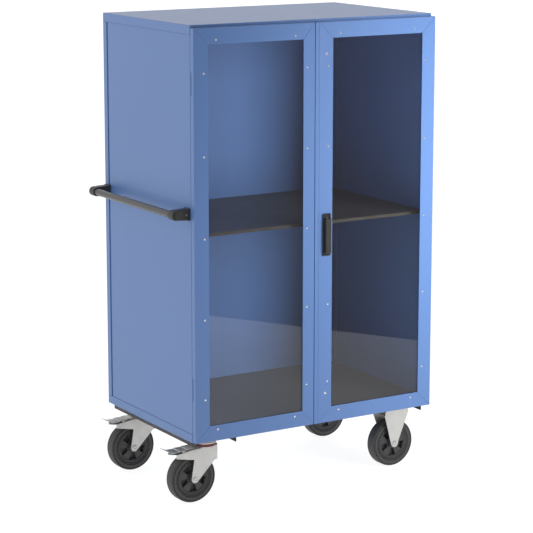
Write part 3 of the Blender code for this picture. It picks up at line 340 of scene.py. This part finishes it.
def smoothMesh(mesh, angle=34):
    # Smooth shading that keeps the flats flat
    mesh.shade_smooth()
    mesh.set_sharp_from_angle(angle=math.radians(angle))
    shape = bpy.data.objects.new("shading", mesh)
    bpy.context.collection.objects.link(shape)
    flats = shape.modifiers.new("flats", "WEIGHTED_NORMAL")
    flats.keep_sharp = True
    seen = shape.evaluated_get(bpy.context.evaluated_depsgraph_get())
    turned = bpy.data.meshes.new_from_object(seen)
    bpy.data.objects.remove(shape)
    return turned


def camel(name):
    first, *rest = name.split("_")
    return first + "".join(word.capitalize() for word in rest)


def dressNode(node, look):
    # A copy of a CAD node with rounded edges, which stands for it
    bm = bmesh.new()
    bm.from_mesh(nodes[node].data)
    joinFaces(bm)
    name = camel(node)
    mesh = smoothMesh(roundEdges(bm, name + "Skin", look))
    mesh.name = name
    slot = slotOf[node]
    return addPiece(name, mesh, finishes[slot], bodyOf[node], [node])


def turnedMesh(name, profile, centre, sides, closed=True):
    # Turns (radius, along) points about a line through centre, along Y or Z
    axis, origin = centre
    bm = bmesh.new()
    rings = []
    for radius, along in profile:
        ring = []
        for i in range(sides if radius > 0 else 1):
            angle = math.tau * i / sides
            a, b = radius * math.cos(angle), radius * math.sin(angle)
            offset = (a, along, b) if axis == "Y" else (a, b, along)
            ring.append(bm.verts.new(Vector(origin) + Vector(offset)))
        rings.append(ring)
    pairs = list(zip(rings, rings[1:] + rings[:1])) if closed else list(zip(rings, rings[1:]))
    for one, two in pairs:
        if len(one) == 1 and len(two) == 1:
            continue
        for i in range(sides):
            j = (i + 1) % sides
            corners = [one[i % len(one)], one[j % len(one)], two[j % len(two)], two[i % len(two)]]
            bm.faces.new(list(dict.fromkeys(corners)))
    bmesh.ops.recalc_face_normals(bm, faces=bm.faces)
    mesh = bpy.data.meshes.new(name)
    bm.to_mesh(mesh)
    bm.free()
    return mesh


def mirroredProfile(half):
    return half + [(radius, -along) for radius, along in reversed(half)]


# Cabinet, doors and lock: the CAD sheets with folded and cut edges

sheetLook = {"fold": 0.0018, "cut": 0.0003}
doorLook = {"fold": 0.0016, "cut": 0.0006}
stripLook = {"fold": 0.0006, "cut": 0.0003}
boardEdges = {"fold": 0.0008, "cut": 0.0006}
channelLook = {"fold": 0.0030, "cut": 0.0005}
paneEdges = {"fold": 0.0004, "cut": 0.0003, "steps": 2}

for node in ("top_cap", "left_side_panel", "right_side_panel", "back_panel", "floor_pan"):
    dressNode(node, sheetLook)
for node in ("floor_sheet", "shelf"):
    dressNode(node, boardEdges)
for node in ("left_chassis_channel", "right_chassis_channel"):
    dressNode(node, channelLook)
for side, stile in (("left", "meeting"), ("right", "lock")):
    for member in ("top_rail", "bottom_rail", "hinge_stile", stile + "_stile"):
        dressNode(f"{side}_door_{member}", stripLook if member == "lock_stile" else doorLook)
    dressNode(side + "_door_pane", paneEdges)
dressNode("closing_strip", stripLook)
print("cabinet and doors dressed")

hingeLook = {"fold": 0.0006, "cut": 0.0003, "steps": 2}
for side in ("left", "right"):
    for level in ("upper", "lower"):
        dressNode(f"{side}_{level}_hinge_pin_half", hingeLook)
        dressNode(f"{side}_{level}_hinge_door_half", hingeLook)

lockLook = {
    "handle_dish": {"fold": 0.0022, "cut": 0.0005, "narrow": 0.0035},
    "lock_lever": {"fold": 0.0016, "cut": 0.0004},
    "lock_spindle": {"fold": 0.0006, "cut": 0.0002, "steps": 2},
    "upper_rod": {"fold": 0.0005, "cut": 0.0002, "steps": 2},
    "lower_rod": {"fold": 0.0005, "cut": 0.0002, "steps": 2},
    "upper_rod_guide": {"fold": 0.0010, "cut": 0.0004},
    "lower_rod_guide": {"fold": 0.0010, "cut": 0.0004},
}
for node, look in lockLook.items():
    dressNode(node, look)
print("hinges and lock dressed")


# Push handle

handleLook = {"bracket": {"fold": 0.0035, "cut": 0.0012, "steps": 4}, "tubeSides": 48, "tubeWall": 0.0018}


def makePushHandle(look):
    for node in ("push_bracket_front", "push_bracket_back"):
        dressNode(node, look["bracket"])
    low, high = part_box("push_tube")
    middle = (low + high) / 2
    radius, half = (high.z - low.z) / 2, (high.y - low.y) / 2
    bore = radius - look["tubeWall"]
    profile = [(radius, half), (radius, -half), (bore, -half), (bore, half)]
    mesh = turnedMesh("pushTube", profile, ("Y", middle), look["tubeSides"])
    addPiece("pushTube", smoothMesh(mesh), tubeFinish, "cabinet", ["push_tube"])


makePushHandle(handleLook)
print("push handle dressed")


# Wheels

wheelLook = {
    "sides": 96,
    "tyre": [  # (radius, half width), from the bead outwards
        (0.0543, 0.0160), (0.0552, 0.0172), (0.0566, 0.0186), (0.0582, 0.0189), (0.0590, 0.0176),
        (0.0600, 0.0164), (0.0611, 0.0174), (0.0622, 0.0194), (0.0648, 0.0199), (0.0690, 0.0199),
        (0.0714, 0.0193), (0.0722, 0.0174), (0.0732, 0.0166), (0.0742, 0.0178), (0.0752, 0.0187),
        (0.0768, 0.0182), (0.0784, 0.0168), (0.0793, 0.0148), (0.0796, 0.0120), (0.0796, 0.0074),
        (0.0788, 0.0068), (0.0788, 0.0058), (0.0796, 0.0052),
    ],
    "rim": [  # (radius, half width), from the bore outwards
        (0.0066, 0.0242), (0.0072, 0.0254), (0.0150, 0.0254), (0.0160, 0.0246), (0.0165, 0.0160),
        (0.0172, 0.0142), (0.0450, 0.0140), (0.0462, 0.0144), (0.0472, 0.0160), (0.0482, 0.0172),
        (0.0516, 0.0174), (0.0530, 0.0170), (0.0538, 0.0160), (0.0540, 0.0150),
    ],
    "pockets": {"Count": 5, "Turn": 0.75, "Near": 0.0205, "Far": 0.0435, "Half Angle": 0.305, "Depth": 0.0115,
                "Face": 0.0140, "Past Face": 0.02},
    "pocketEdges": {"fold": 0.0009, "cut": 0.0009, "from": 60, "narrow": 0.0, "shortest": 0.0015},
    "tyreFlats": 28, "rimFlats": 40,  # degrees from which an edge stays sharp
}


def newTree(name, inputs):
    tree = bpy.data.node_groups.new(name, "GeometryNodeTree")
    tree.interface.new_socket("Geometry", in_out="INPUT", socket_type="NodeSocketGeometry")
    for label, (kind, value) in inputs.items():
        socket = tree.interface.new_socket(label, in_out="INPUT", socket_type=kind)
        if value is not None:
            socket.default_value = value
    tree.interface.new_socket("Geometry", in_out="OUTPUT", socket_type="NodeSocketGeometry")
    return tree, tree.nodes.new("NodeGroupInput"), tree.nodes.new("NodeGroupOutput")


def addNode(tree, kind, **links):
    node = tree.nodes.new(kind)
    for label, value in links.items():
        if isinstance(value, bpy.types.NodeSocket):
            tree.links.new(value, node.inputs[label])
        else:
            node.inputs[label].default_value = value
    return node


def addMath(tree, operation, *values):
    node = tree.nodes.new("ShaderNodeMath")
    node.operation = operation
    for socket, value in zip(node.inputs, values):
        if isinstance(value, bpy.types.NodeSocket):
            tree.links.new(value, socket)
        else:
            socket.default_value = value
    return node.outputs[0]


def addVector(tree, x, y, z):
    return addNode(tree, "ShaderNodeCombineXYZ", X=x, Y=y, Z=z).outputs[0]


def closeTree(tree, geometry, output, material):
    realized = addNode(tree, "GeometryNodeRealizeInstances", Geometry=geometry).outputs[0]
    painted = addNode(tree, "GeometryNodeSetMaterial", Geometry=realized, Material=material).outputs[0]
    tree.links.new(painted, output.inputs[0])


def runTree(tree, carrier, values):
    # Runs a tree on a carrier object and returns the plain mesh that it makes
    modifier = carrier.modifiers.new("nodes", "NODES")
    modifier.node_group = tree
    for item in tree.interface.items_tree:
        if item.in_out == "INPUT" and item.name in values:
            modifier[item.identifier] = values[item.name]
    return settle(carrier)


def makePocketTree():
    # Tapered cutters round a wheel's middle, on both of its faces
    tree, given, output = newTree("rimPockets", {
        "Count": ("NodeSocketInt", 5), "Turn": ("NodeSocketFloat", 0.5), "Near": ("NodeSocketFloat", 0.02),
        "Far": ("NodeSocketFloat", 0.04), "Half Angle": ("NodeSocketFloat", 0.3),
        "Depth": ("NodeSocketFloat", 0.01), "Face": ("NodeSocketFloat", 0.014),
        "Past Face": ("NodeSocketFloat", 0.02), "Material": ("NodeSocketMaterial", None),
    })
    g = given.outputs
    cube = addNode(tree, "GeometryNodeMeshCube", Size=(1.0, 1.0, 1.0)).outputs[0]
    spot = addNode(tree, "GeometryNodeInputPosition").outputs[0]
    place = addNode(tree, "ShaderNodeSeparateXYZ", Vector=spot)
    along = addMath(tree, "ADD", place.outputs["X"], 0.5)
    length = addMath(tree, "SUBTRACT", g["Far"], g["Near"])
    reach = addMath(tree, "ADD", g["Near"], addMath(tree, "MULTIPLY", along, length))
    half = addMath(tree, "MULTIPLY", reach, addMath(tree, "TANGENT", g["Half Angle"]))
    width = addMath(tree, "MULTIPLY", half, 2.0)
    across = addMath(tree, "MULTIPLY", place.outputs["Z"], width)
    floor = addMath(tree, "SUBTRACT", g["Face"], g["Depth"])
    outward = addMath(tree, "MULTIPLY", addMath(tree, "ADD", place.outputs["Y"], 0.5), g["Past Face"])
    corner = addVector(tree, reach, addMath(tree, "ADD", floor, outward), across)
    wedge = addNode(tree, "GeometryNodeSetPosition", Geometry=cube, Position=corner).outputs[0]
    index = addNode(tree, "GeometryNodeInputIndex").outputs[0]
    spots = addNode(tree, "GeometryNodeMeshLine", Count=g["Count"], Offset=(0.0, 0.0, 0.0)).outputs[0]
    pitch = addMath(tree, "DIVIDE", -math.tau, g["Count"])
    swing = addMath(tree, "MULTIPLY", addMath(tree, "ADD", index, g["Turn"]), pitch)
    ring = addNode(tree, "GeometryNodeInstanceOnPoints", Points=spots, Instance=wedge,
                   Rotation=addVector(tree, 0.0, swing, 0.0)).outputs[0]
    other = addNode(tree, "GeometryNodeTransform", Geometry=ring, Rotation=(0.0, 0.0, math.pi)).outputs[0]
    both = tree.nodes.new("GeometryNodeJoinGeometry")
    for part in (ring, other):
        tree.links.new(part, both.inputs[0])
    closeTree(tree, both.outputs[0], output, g["Material"])
    return tree


pocketTree = makePocketTree()


def emptyCarrier(name, points=()):
    mesh = bpy.data.meshes.new(name)
    mesh.from_pydata([tuple(p) for p in points], [], [])
    carrier = bpy.data.objects.new(name, mesh)
    bpy.context.collection.objects.link(carrier)
    return carrier


def makeWheel(name, look):
    low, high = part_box(name + "_tyre")
    centre = (low + high) / 2
    tyre = turnedMesh(name, mirroredProfile(look["tyre"]), ("Y", centre), look["sides"])
    tyre = smoothMesh(tyre, look["tyreFlats"])
    body = bodyOf[name + "_tyre"]
    addPiece(camel(name) + "Tyre", tyre, finishes["black_rubber"], body, [name + "_tyre"])

    disc = turnedMesh(name + "Disc", mirroredProfile(look["rim"]), ("Y", (0, 0, 0)), look["sides"])
    rim = bpy.data.objects.new(name + "Rim", disc)
    bpy.context.collection.objects.link(rim)
    cutters = emptyCarrier(name + "Pockets")
    runTree(pocketTree, cutters, {**look["pockets"], "Material": finishes["rim_plastic"]})
    hollow = rim.modifiers.new("pockets", "BOOLEAN")
    hollow.operation, hollow.object, hollow.solver = "DIFFERENCE", cutters, "EXACT"
    settle(rim)
    bpy.data.objects.remove(cutters)
    bm = bmesh.new()
    bm.from_mesh(rim.data)
    bpy.data.objects.remove(rim)
    joinFaces(bm)
    bm.transform(Matrix.Translation(centre))
    skin = smoothMesh(roundEdges(bm, name + "Skin", look["pocketEdges"]), look["rimFlats"])
    addPiece(camel(name) + "Rim", skin, finishes["rim_plastic"], body, [name + "_rim"])


wheelNames = ("front_left", "back_left", "front_right", "back_right")
for name in wheelNames:
    makeWheel(name, wheelLook)
print("wheels made")


# Castors

castorLook = {
    "fork": {"fold": 0.0011, "cut": 0.0007, "narrow": 0.0036},
    "plate": {"fold": 0.0009, "cut": 0.0006},
    "pedal": {"fold": 0.0006, "cut": 0.0004, "steps": 2},
    "seal": {"wall": 0.008, "edge": 0.0008, "sides": 72},
    "axleHead": [  # (radius, depth under the end), from the middle outwards and back to the shank
        (0.0, -0.0014), (0.0038, -0.0014), (0.0044, -0.0004), (0.0052, 0.0), (0.0074, -0.0004),
        (0.0084, -0.0013), (0.0085, -0.0023), (0.0060, -0.0024),
    ],
    "axleSides": 40, "axleFlats": 40,
}


def makeAxle(name, look):
    node = name + "_axle"
    low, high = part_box(node)
    centre = (low + high) / 2
    half = (high.y - low.y) / 2
    head = [(radius, half + depth) for radius, depth in look["axleHead"]]
    mesh = turnedMesh(node, mirroredProfile(head), ("Y", centre), look["axleSides"], closed=False)
    mesh = smoothMesh(mesh, look["axleFlats"])
    addPiece(camel(node), mesh, finishes["zinc_plate"], bodyOf[node], [node])


def makeSeal(name, look):
    node = name + "_seal"
    low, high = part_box(node)
    centre = (low + high) / 2
    outer, half = (high.x - low.x) / 2, (high.z - low.z) / 2
    inner, edge = outer - look["wall"], look["edge"]
    profile = [(inner, -half), (outer - edge, -half), (outer, -half + edge), (outer, half - edge),
               (outer - edge, half), (inner, half)]
    mesh = turnedMesh(node, profile, ("Z", centre), look["sides"])
    addPiece(camel(node), smoothMesh(mesh), finishes["red_seal"], bodyOf[node], [node])


for name in wheelNames:
    dressNode(name + "_fork", castorLook["fork"])
    makeAxle(name, castorLook)
    if name.endswith("left"):
        dressNode(name + "_top_plate", castorLook["plate"])
        dressNode(name + "_pedal", castorLook["pedal"])
        makeSeal(name, castorLook["seal"])
print("castors dressed")


# Rivets, screws and bolts

def makeFastenerTree():
    # On every point: head outwards, shank through the grip, a tail head behind it
    tree, given, output = newTree("fasteners", {
        "Turn": ("NodeSocketRotation", None), "Sides": ("NodeSocketInt", 24), "Rings": ("NodeSocketInt", 10),
        "Shank Sides": ("NodeSocketInt", 12), "Head Radius": ("NodeSocketFloat", 0.003),
        "Head Height": ("NodeSocketFloat", 0.0012), "Shank Radius": ("NodeSocketFloat", 0.0016),
        "Grip": ("NodeSocketFloat", 0.006), "Tail Radius": ("NodeSocketFloat", 0.0024),
        "Tail Height": ("NodeSocketFloat", 0.001), "Material": ("NodeSocketMaterial", None),
    })
    g = given.outputs
    ball = addNode(tree, "GeometryNodeMeshUVSphere", Segments=g["Sides"], Rings=g["Rings"],
                   Radius=1.0).outputs[0]
    head = addNode(tree, "GeometryNodeTransform", Geometry=ball,
                   Scale=addVector(tree, g["Head Radius"], g["Head Radius"], g["Head Height"])).outputs[0]
    under = addMath(tree, "MULTIPLY", g["Grip"], -1.0)
    tail = addNode(tree, "GeometryNodeTransform", Geometry=ball, Translation=addVector(tree, 0.0, 0.0, under),
                   Scale=addVector(tree, g["Tail Radius"], g["Tail Radius"], g["Tail Height"])).outputs[0]
    rod = addNode(tree, "GeometryNodeMeshCylinder", Vertices=g["Shank Sides"], Radius=g["Shank Radius"],
                  Depth=g["Grip"]).outputs[0]
    middle = addVector(tree, 0.0, 0.0, addMath(tree, "MULTIPLY", g["Grip"], -0.5))
    shank = addNode(tree, "GeometryNodeTransform", Geometry=rod, Translation=middle).outputs[0]
    whole = tree.nodes.new("GeometryNodeJoinGeometry")
    for part in (head, tail, shank):
        tree.links.new(part, whole.inputs[0])
    spread = addNode(tree, "GeometryNodeInstanceOnPoints", Points=g["Geometry"], Instance=whole.outputs[0],
                     Rotation=g["Turn"]).outputs[0]
    closeTree(tree, spread, output, g["Material"])
    return tree


def makeBoltTree():
    # On every point: washer and hexagon head outwards, shank through the grip, nut and thread end behind it
    tree, given, output = newTree("hexBolts", {
        "Head Radius": ("NodeSocketFloat", 0.0075), "Head Height": ("NodeSocketFloat", 0.0053),
        "Washer Radius": ("NodeSocketFloat", 0.0085), "Washer Height": ("NodeSocketFloat", 0.0014),
        "Shank Radius": ("NodeSocketFloat", 0.004), "Grip": ("NodeSocketFloat", 0.0075),
        "Nut Height": ("NodeSocketFloat", 0.0065), "Tail": ("NodeSocketFloat", 0.003),
        "Head Sides": ("NodeSocketInt", 6), "Washer Sides": ("NodeSocketInt", 28),
        "Shank Sides": ("NodeSocketInt", 16), "Material": ("NodeSocketMaterial", None),
    })
    g = given.outputs

    def drum(sides, radius, low, height):
        rod = addNode(tree, "GeometryNodeMeshCylinder", Vertices=sides, Radius=radius, Depth=height)
        middle = addMath(tree, "ADD", low, addMath(tree, "MULTIPLY", height, 0.5))
        middle = addVector(tree, 0.0, 0.0, middle)
        placed = addNode(tree, "GeometryNodeTransform", Geometry=rod.outputs[0], Translation=middle)
        return placed.outputs[0]

    under = addMath(tree, "MULTIPLY", g["Grip"], -1.0)
    nutLow = addMath(tree, "SUBTRACT", under, g["Nut Height"])
    end = addMath(tree, "SUBTRACT", nutLow, g["Tail"])
    length = addMath(tree, "SUBTRACT", g["Washer Height"], end)
    whole = tree.nodes.new("GeometryNodeJoinGeometry")
    for part in (
        drum(g["Washer Sides"], g["Washer Radius"], 0.0, g["Washer Height"]),
        drum(g["Head Sides"], g["Head Radius"], g["Washer Height"], g["Head Height"]),
        drum(g["Shank Sides"], g["Shank Radius"], end, length),
        drum(g["Head Sides"], g["Head Radius"], nutLow, g["Nut Height"]),
    ):
        tree.links.new(part, whole.inputs[0])
    bolts = addNode(tree, "GeometryNodeInstanceOnPoints", Points=g["Geometry"], Instance=whole.outputs[0])
    closeTree(tree, bolts.outputs[0], output, g["Material"])
    return tree


fastenerTree = makeFastenerTree()
boltTree = makeBoltTree()


fastenerFlats = 50


def addFasteners(name, points, body, tree, values):
    carrier = emptyCarrier(name + "Points", points)
    mesh = runTree(tree, carrier, values)
    bpy.data.objects.remove(carrier)
    mesh.name = name
    return addPiece(name, smoothMesh(mesh, fastenerFlats), values["Material"], body)


rivetPattern = {"outside": 0.0150, "pitch": 0.2537, "corner": 0.029, "above": 0.0137, "perStile": 5}
rivetSizes = {
    "Turn": (math.pi / 2, 0.0, 0.0), "Head Radius": 0.0034, "Head Height": 0.0012, "Shank Radius": 0.0016,
    "Grip": 0.0064, "Tail Radius": 0.0026, "Tail Height": 0.0011, "Material": rivetFinish,
}


def doorOpening(side, stile):
    # The pane opening's corners in (x, z), and the door's front
    hingeLow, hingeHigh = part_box(side + "_door_hinge_stile")
    freeLow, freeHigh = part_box(f"{side}_door_{stile}_stile")
    lowRail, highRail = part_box(side + "_door_bottom_rail")[1].z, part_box(side + "_door_top_rail")[0].z
    left, right = (hingeHigh.x, freeLow.x) if side == "left" else (freeHigh.x, hingeLow.x)
    return left, right, lowRail, highRail, hingeLow.y


def rivetPoints(side, stile, look):
    left, right, low, high, front = doorOpening(side, stile)
    middle = (low + high) / 2
    points = []
    for x, edge in ((left - look["outside"], "left"), (right + look["outside"], "right")):
        for i in range(look["perStile"]):
            step = i - (look["perStile"] - 1) / 2
            if side == "right" and edge == "left" and step == 0:
                continue  # the swing handle takes this place
            points.append((x, front, middle + step * look["pitch"]))
    for z in (low - look["above"], high + look["above"]):
        for x in (left + look["corner"], right - look["corner"]):
            points.append((x, front, z))
    return points


for side, stile in (("left", "meeting"), ("right", "lock")):
    addFasteners(side + "DoorRivets", rivetPoints(side, stile, rivetPattern), side + "_door",
                 fastenerTree, rivetSizes)

guideScrews = {**rivetSizes, "Head Radius": 0.0048, "Head Height": 0.0022, "Grip": 0.0150,
               "Tail Radius": 0.0018, "Tail Height": 0.0002}
guidePoints = []
for level in ("upper", "lower"):
    low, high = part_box(level + "_rod_guide")
    guidePoints.append(((low.x + high.x) / 2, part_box("right_door_lock_stile")[0].y, (low.z + high.z) / 2))
addFasteners("rodGuideScrews", guidePoints, "right_door", fastenerTree, guideScrews)

boltPattern = {"long": 0.0525, "short": 0.040}
boltSizes = {"Grip": 0.0073, "Material": finishes["zinc_plate"]}
for side in ("left", "right"):
    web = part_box(side + "_chassis_channel")[1].z
    points = []
    for end in ("front", "back"):
        name = f"{end}_{side}"
        low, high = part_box(name + ("_top_plate" if side == "left" else "_fork"))
        middle = (low + high) / 2
        for x in (middle.x - boltPattern["long"], middle.x + boltPattern["long"]):
            for y in (middle.y - boltPattern["short"], middle.y + boltPattern["short"]):
                points.append((x, y, web))
    addFasteners(side + "CastorBolts", points, "cabinet", boltTree, boltSizes)

handleBolts = {"spread": 0.008, "sheet": 0.0015, "Turn": (0.0, math.pi / 2, 0.0), "Head Radius": 0.0058,
               "Head Height": 0.0030, "Shank Radius": 0.0028, "Grip": 0.0060, "Tail Radius": 0.0028,
               "Tail Height": 0.0002, "Material": finishes["zinc_plate"]}
# These screws carry the zinc with painted recess shade
bracketScrews = {"fromBase": 0.0135, "Turn": (math.pi / 2, 0.0, 0.0), "Head Radius": 0.0032,
                 "Head Height": 0.0008, "Shank Radius": 0.0016, "Grip": 0.0100, "Tail Radius": 0.0016,
                 "Tail Height": 0.0002, "Material": screwFinishWithPaintedShade}
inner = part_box("left_side_panel")[0].x + handleBolts["sheet"]
tubeZ = sum(v.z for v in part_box("push_tube")) / 2
boltPoints, screwPoints = [], {}
for end in ("front", "back"):
    low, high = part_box("push_bracket_" + end)
    for step in (-1, 1):
        boltPoints.append((inner, (low.y + high.y) / 2, tubeZ + step * handleBolts["spread"]))
    screwPoints[end] = [(high.x - bracketScrews["fromBase"], low.y if end == "front" else high.y, tubeZ)]
addFasteners("pushHandleBolts", boltPoints, "cabinet", fastenerTree, handleBolts)
addFasteners("frontBracketScrew", screwPoints["front"], "cabinet", fastenerTree, bracketScrews)
addFasteners("backBracketScrew", screwPoints["back"], "cabinet", fastenerTree,
             {**bracketScrews, "Turn": (-math.pi / 2, 0.0, 0.0)})
print("rivets, screws and bolts made")


# Floor, light and camera

studio = {
    "floorEdge": ((-13.83, -27.61), (21.92, 32.61)), "floorFar": 45.0,
    "stageColour": (0.26, 0.26, 0.26), "stageRoughness": 0.9, "floorGlow": 0.885,
    "roomHeight": 30.0, "roomDrop": 0.01, "roomGlow": 1.05,
    "backSky": (1.0, 1.0, 1.0), "frontSky": (0.33, 0.31, 0.29), "overSky": (0.54, 0.56, 0.60), "sky": 1.05,
    "backWay": (-0.55, 0.83, 0.0), "backFrom": (-0.25, 0.30), "overFrom": (0.35, 0.9),
    "lamps": {
        "key": {"at": (0.87, -1.55, 1.16), "aim": (0.37, 0.30, 0.90), "size": (0.5, 1.4), "power": 9.6,
                "spread": 80.0},
        "fill": {"at": (-2.6, 0.7, 1.3), "aim": (-0.4, 0.1, 0.8), "size": (1.4, 1.4), "power": 3.0,
                 "spread": 140.0},
    },
}
# Turned to the right and tilted down in degrees, the focal length in pixels of a 533 pixel frame
eye = {"at": (-3.4326, -5.6445, 2.0303), "turn": 31.4295, "down": 10.8925, "focal": 2053.11, "frame": 533,
       "shift": -0.04, "sensor": 36.0, "farthest": 100.0}


def addStage(name, points, faces, look, glow):
    mesh = bpy.data.meshes.new(name)
    mesh.from_pydata(points, [], faces)
    piece = bpy.data.objects.new(name, mesh)
    bpy.context.collection.objects.link(piece)
    material, tree, shader, coords = startMaterial("pale" + name.capitalize())
    shader.inputs["Base Color"].default_value = (*look["stageColour"], 1.0)
    shader.inputs["Roughness"].default_value = look["stageRoughness"]
    shader.inputs["Emission Color"].default_value = (1.0, 1.0, 1.0, 1.0)
    shader.inputs["Emission Strength"].default_value = glow
    mesh.materials.append(material)
    piece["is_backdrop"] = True
    return piece


def makeStudio(look):
    near, far = look["floorEdge"]  # the bright floor ends along this line, to the front right
    out = look["floorFar"]
    ends = [(*near, 0), (*far, 0), (-out, out, 0), (-out, near[1], 0)]
    addStage("floor", ends, [(0, 1, 2, 3)], look, look["floorGlow"])
    corners = [(-out, -out), (out, -out), (out, out), (-out, out)]
    ends = [(x, y, z) for z in (-look["roomDrop"], look["roomHeight"]) for x, y in corners]
    walls = [(i, (i + 1) % 4, (i + 1) % 4 + 4, i + 4) for i in range(4)]
    room = addStage("room", ends, [(0, 1, 2, 3)] + walls, look, look["roomGlow"])
    room.visible_diffuse = False  # a plain pale backdrop that lights nothing and shows in no pane
    room.visible_glossy = False
    room.visible_transmission = False
    room.visible_volume_scatter = False
    room.visible_shadow = False

    world = bpy.data.worlds.new("studio")
    bpy.context.scene.world = world
    world.use_nodes = True
    tree = world.node_tree
    coords = tree.nodes.new("ShaderNodeTexCoord")
    parts = tree.nodes.new("ShaderNodeSeparateXYZ")
    tree.links.new(coords.outputs["Generated"], parts.inputs[0])
    lean = tree.nodes.new("ShaderNodeVectorMath")
    lean.operation = "DOT_PRODUCT"
    lean.inputs[1].default_value = look["backWay"]  # dark to the front right, white behind and to the left
    tree.links.new(coords.outputs["Generated"], lean.inputs[0])
    across = toRange(tree, lean.outputs["Value"], 0.0, 1.0, *look["backFrom"])
    colour = mixColours(tree, across, look["frontSky"], look["backSky"])
    over = toRange(tree, parts.outputs["Z"], 0.0, 1.0, *look["overFrom"])
    tree.links.new(mixColours(tree, over, colour, look["overSky"]), tree.nodes["Background"].inputs["Color"])
    tree.nodes["Background"].inputs["Strength"].default_value = look["sky"]
    for name, values in look["lamps"].items():
        lamp = bpy.data.lights.new(name + "Lamp", "AREA")
        lamp.shape = "RECTANGLE"
        lamp.size, lamp.size_y = values["size"]
        lamp.energy = values["power"]
        lamp.spread = math.radians(values["spread"])
        holder = bpy.data.objects.new(name + "Lamp", lamp)
        bpy.context.collection.objects.link(holder)
        holder.location = values["at"]
        way = Vector(values["aim"]) - Vector(values["at"])
        holder.rotation_euler = way.to_track_quat("-Z", "Y").to_euler()
        holder.visible_camera = False
        holder.visible_glossy = False  # so that the panes mirror the room and no lamp


def makeCamera(look):
    data = bpy.data.cameras.new("camera")
    data.sensor_width = look["sensor"]
    data.lens = look["focal"] / look["frame"] * data.sensor_width
    data.shift_y = look["shift"]
    data.clip_end = look["farthest"]
    camera = bpy.data.objects.new("camera", data)
    bpy.context.collection.objects.link(camera)
    camera.location = look["at"]
    camera.rotation_euler = (math.radians(90 - look["down"]), 0.0, math.radians(-look["turn"]))
    bpy.context.scene.camera = camera


makeStudio(studio)
makeCamera(eye)
bpy.context.scene.view_settings.view_transform = "Standard"
print("studio and camera set")

low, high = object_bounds()
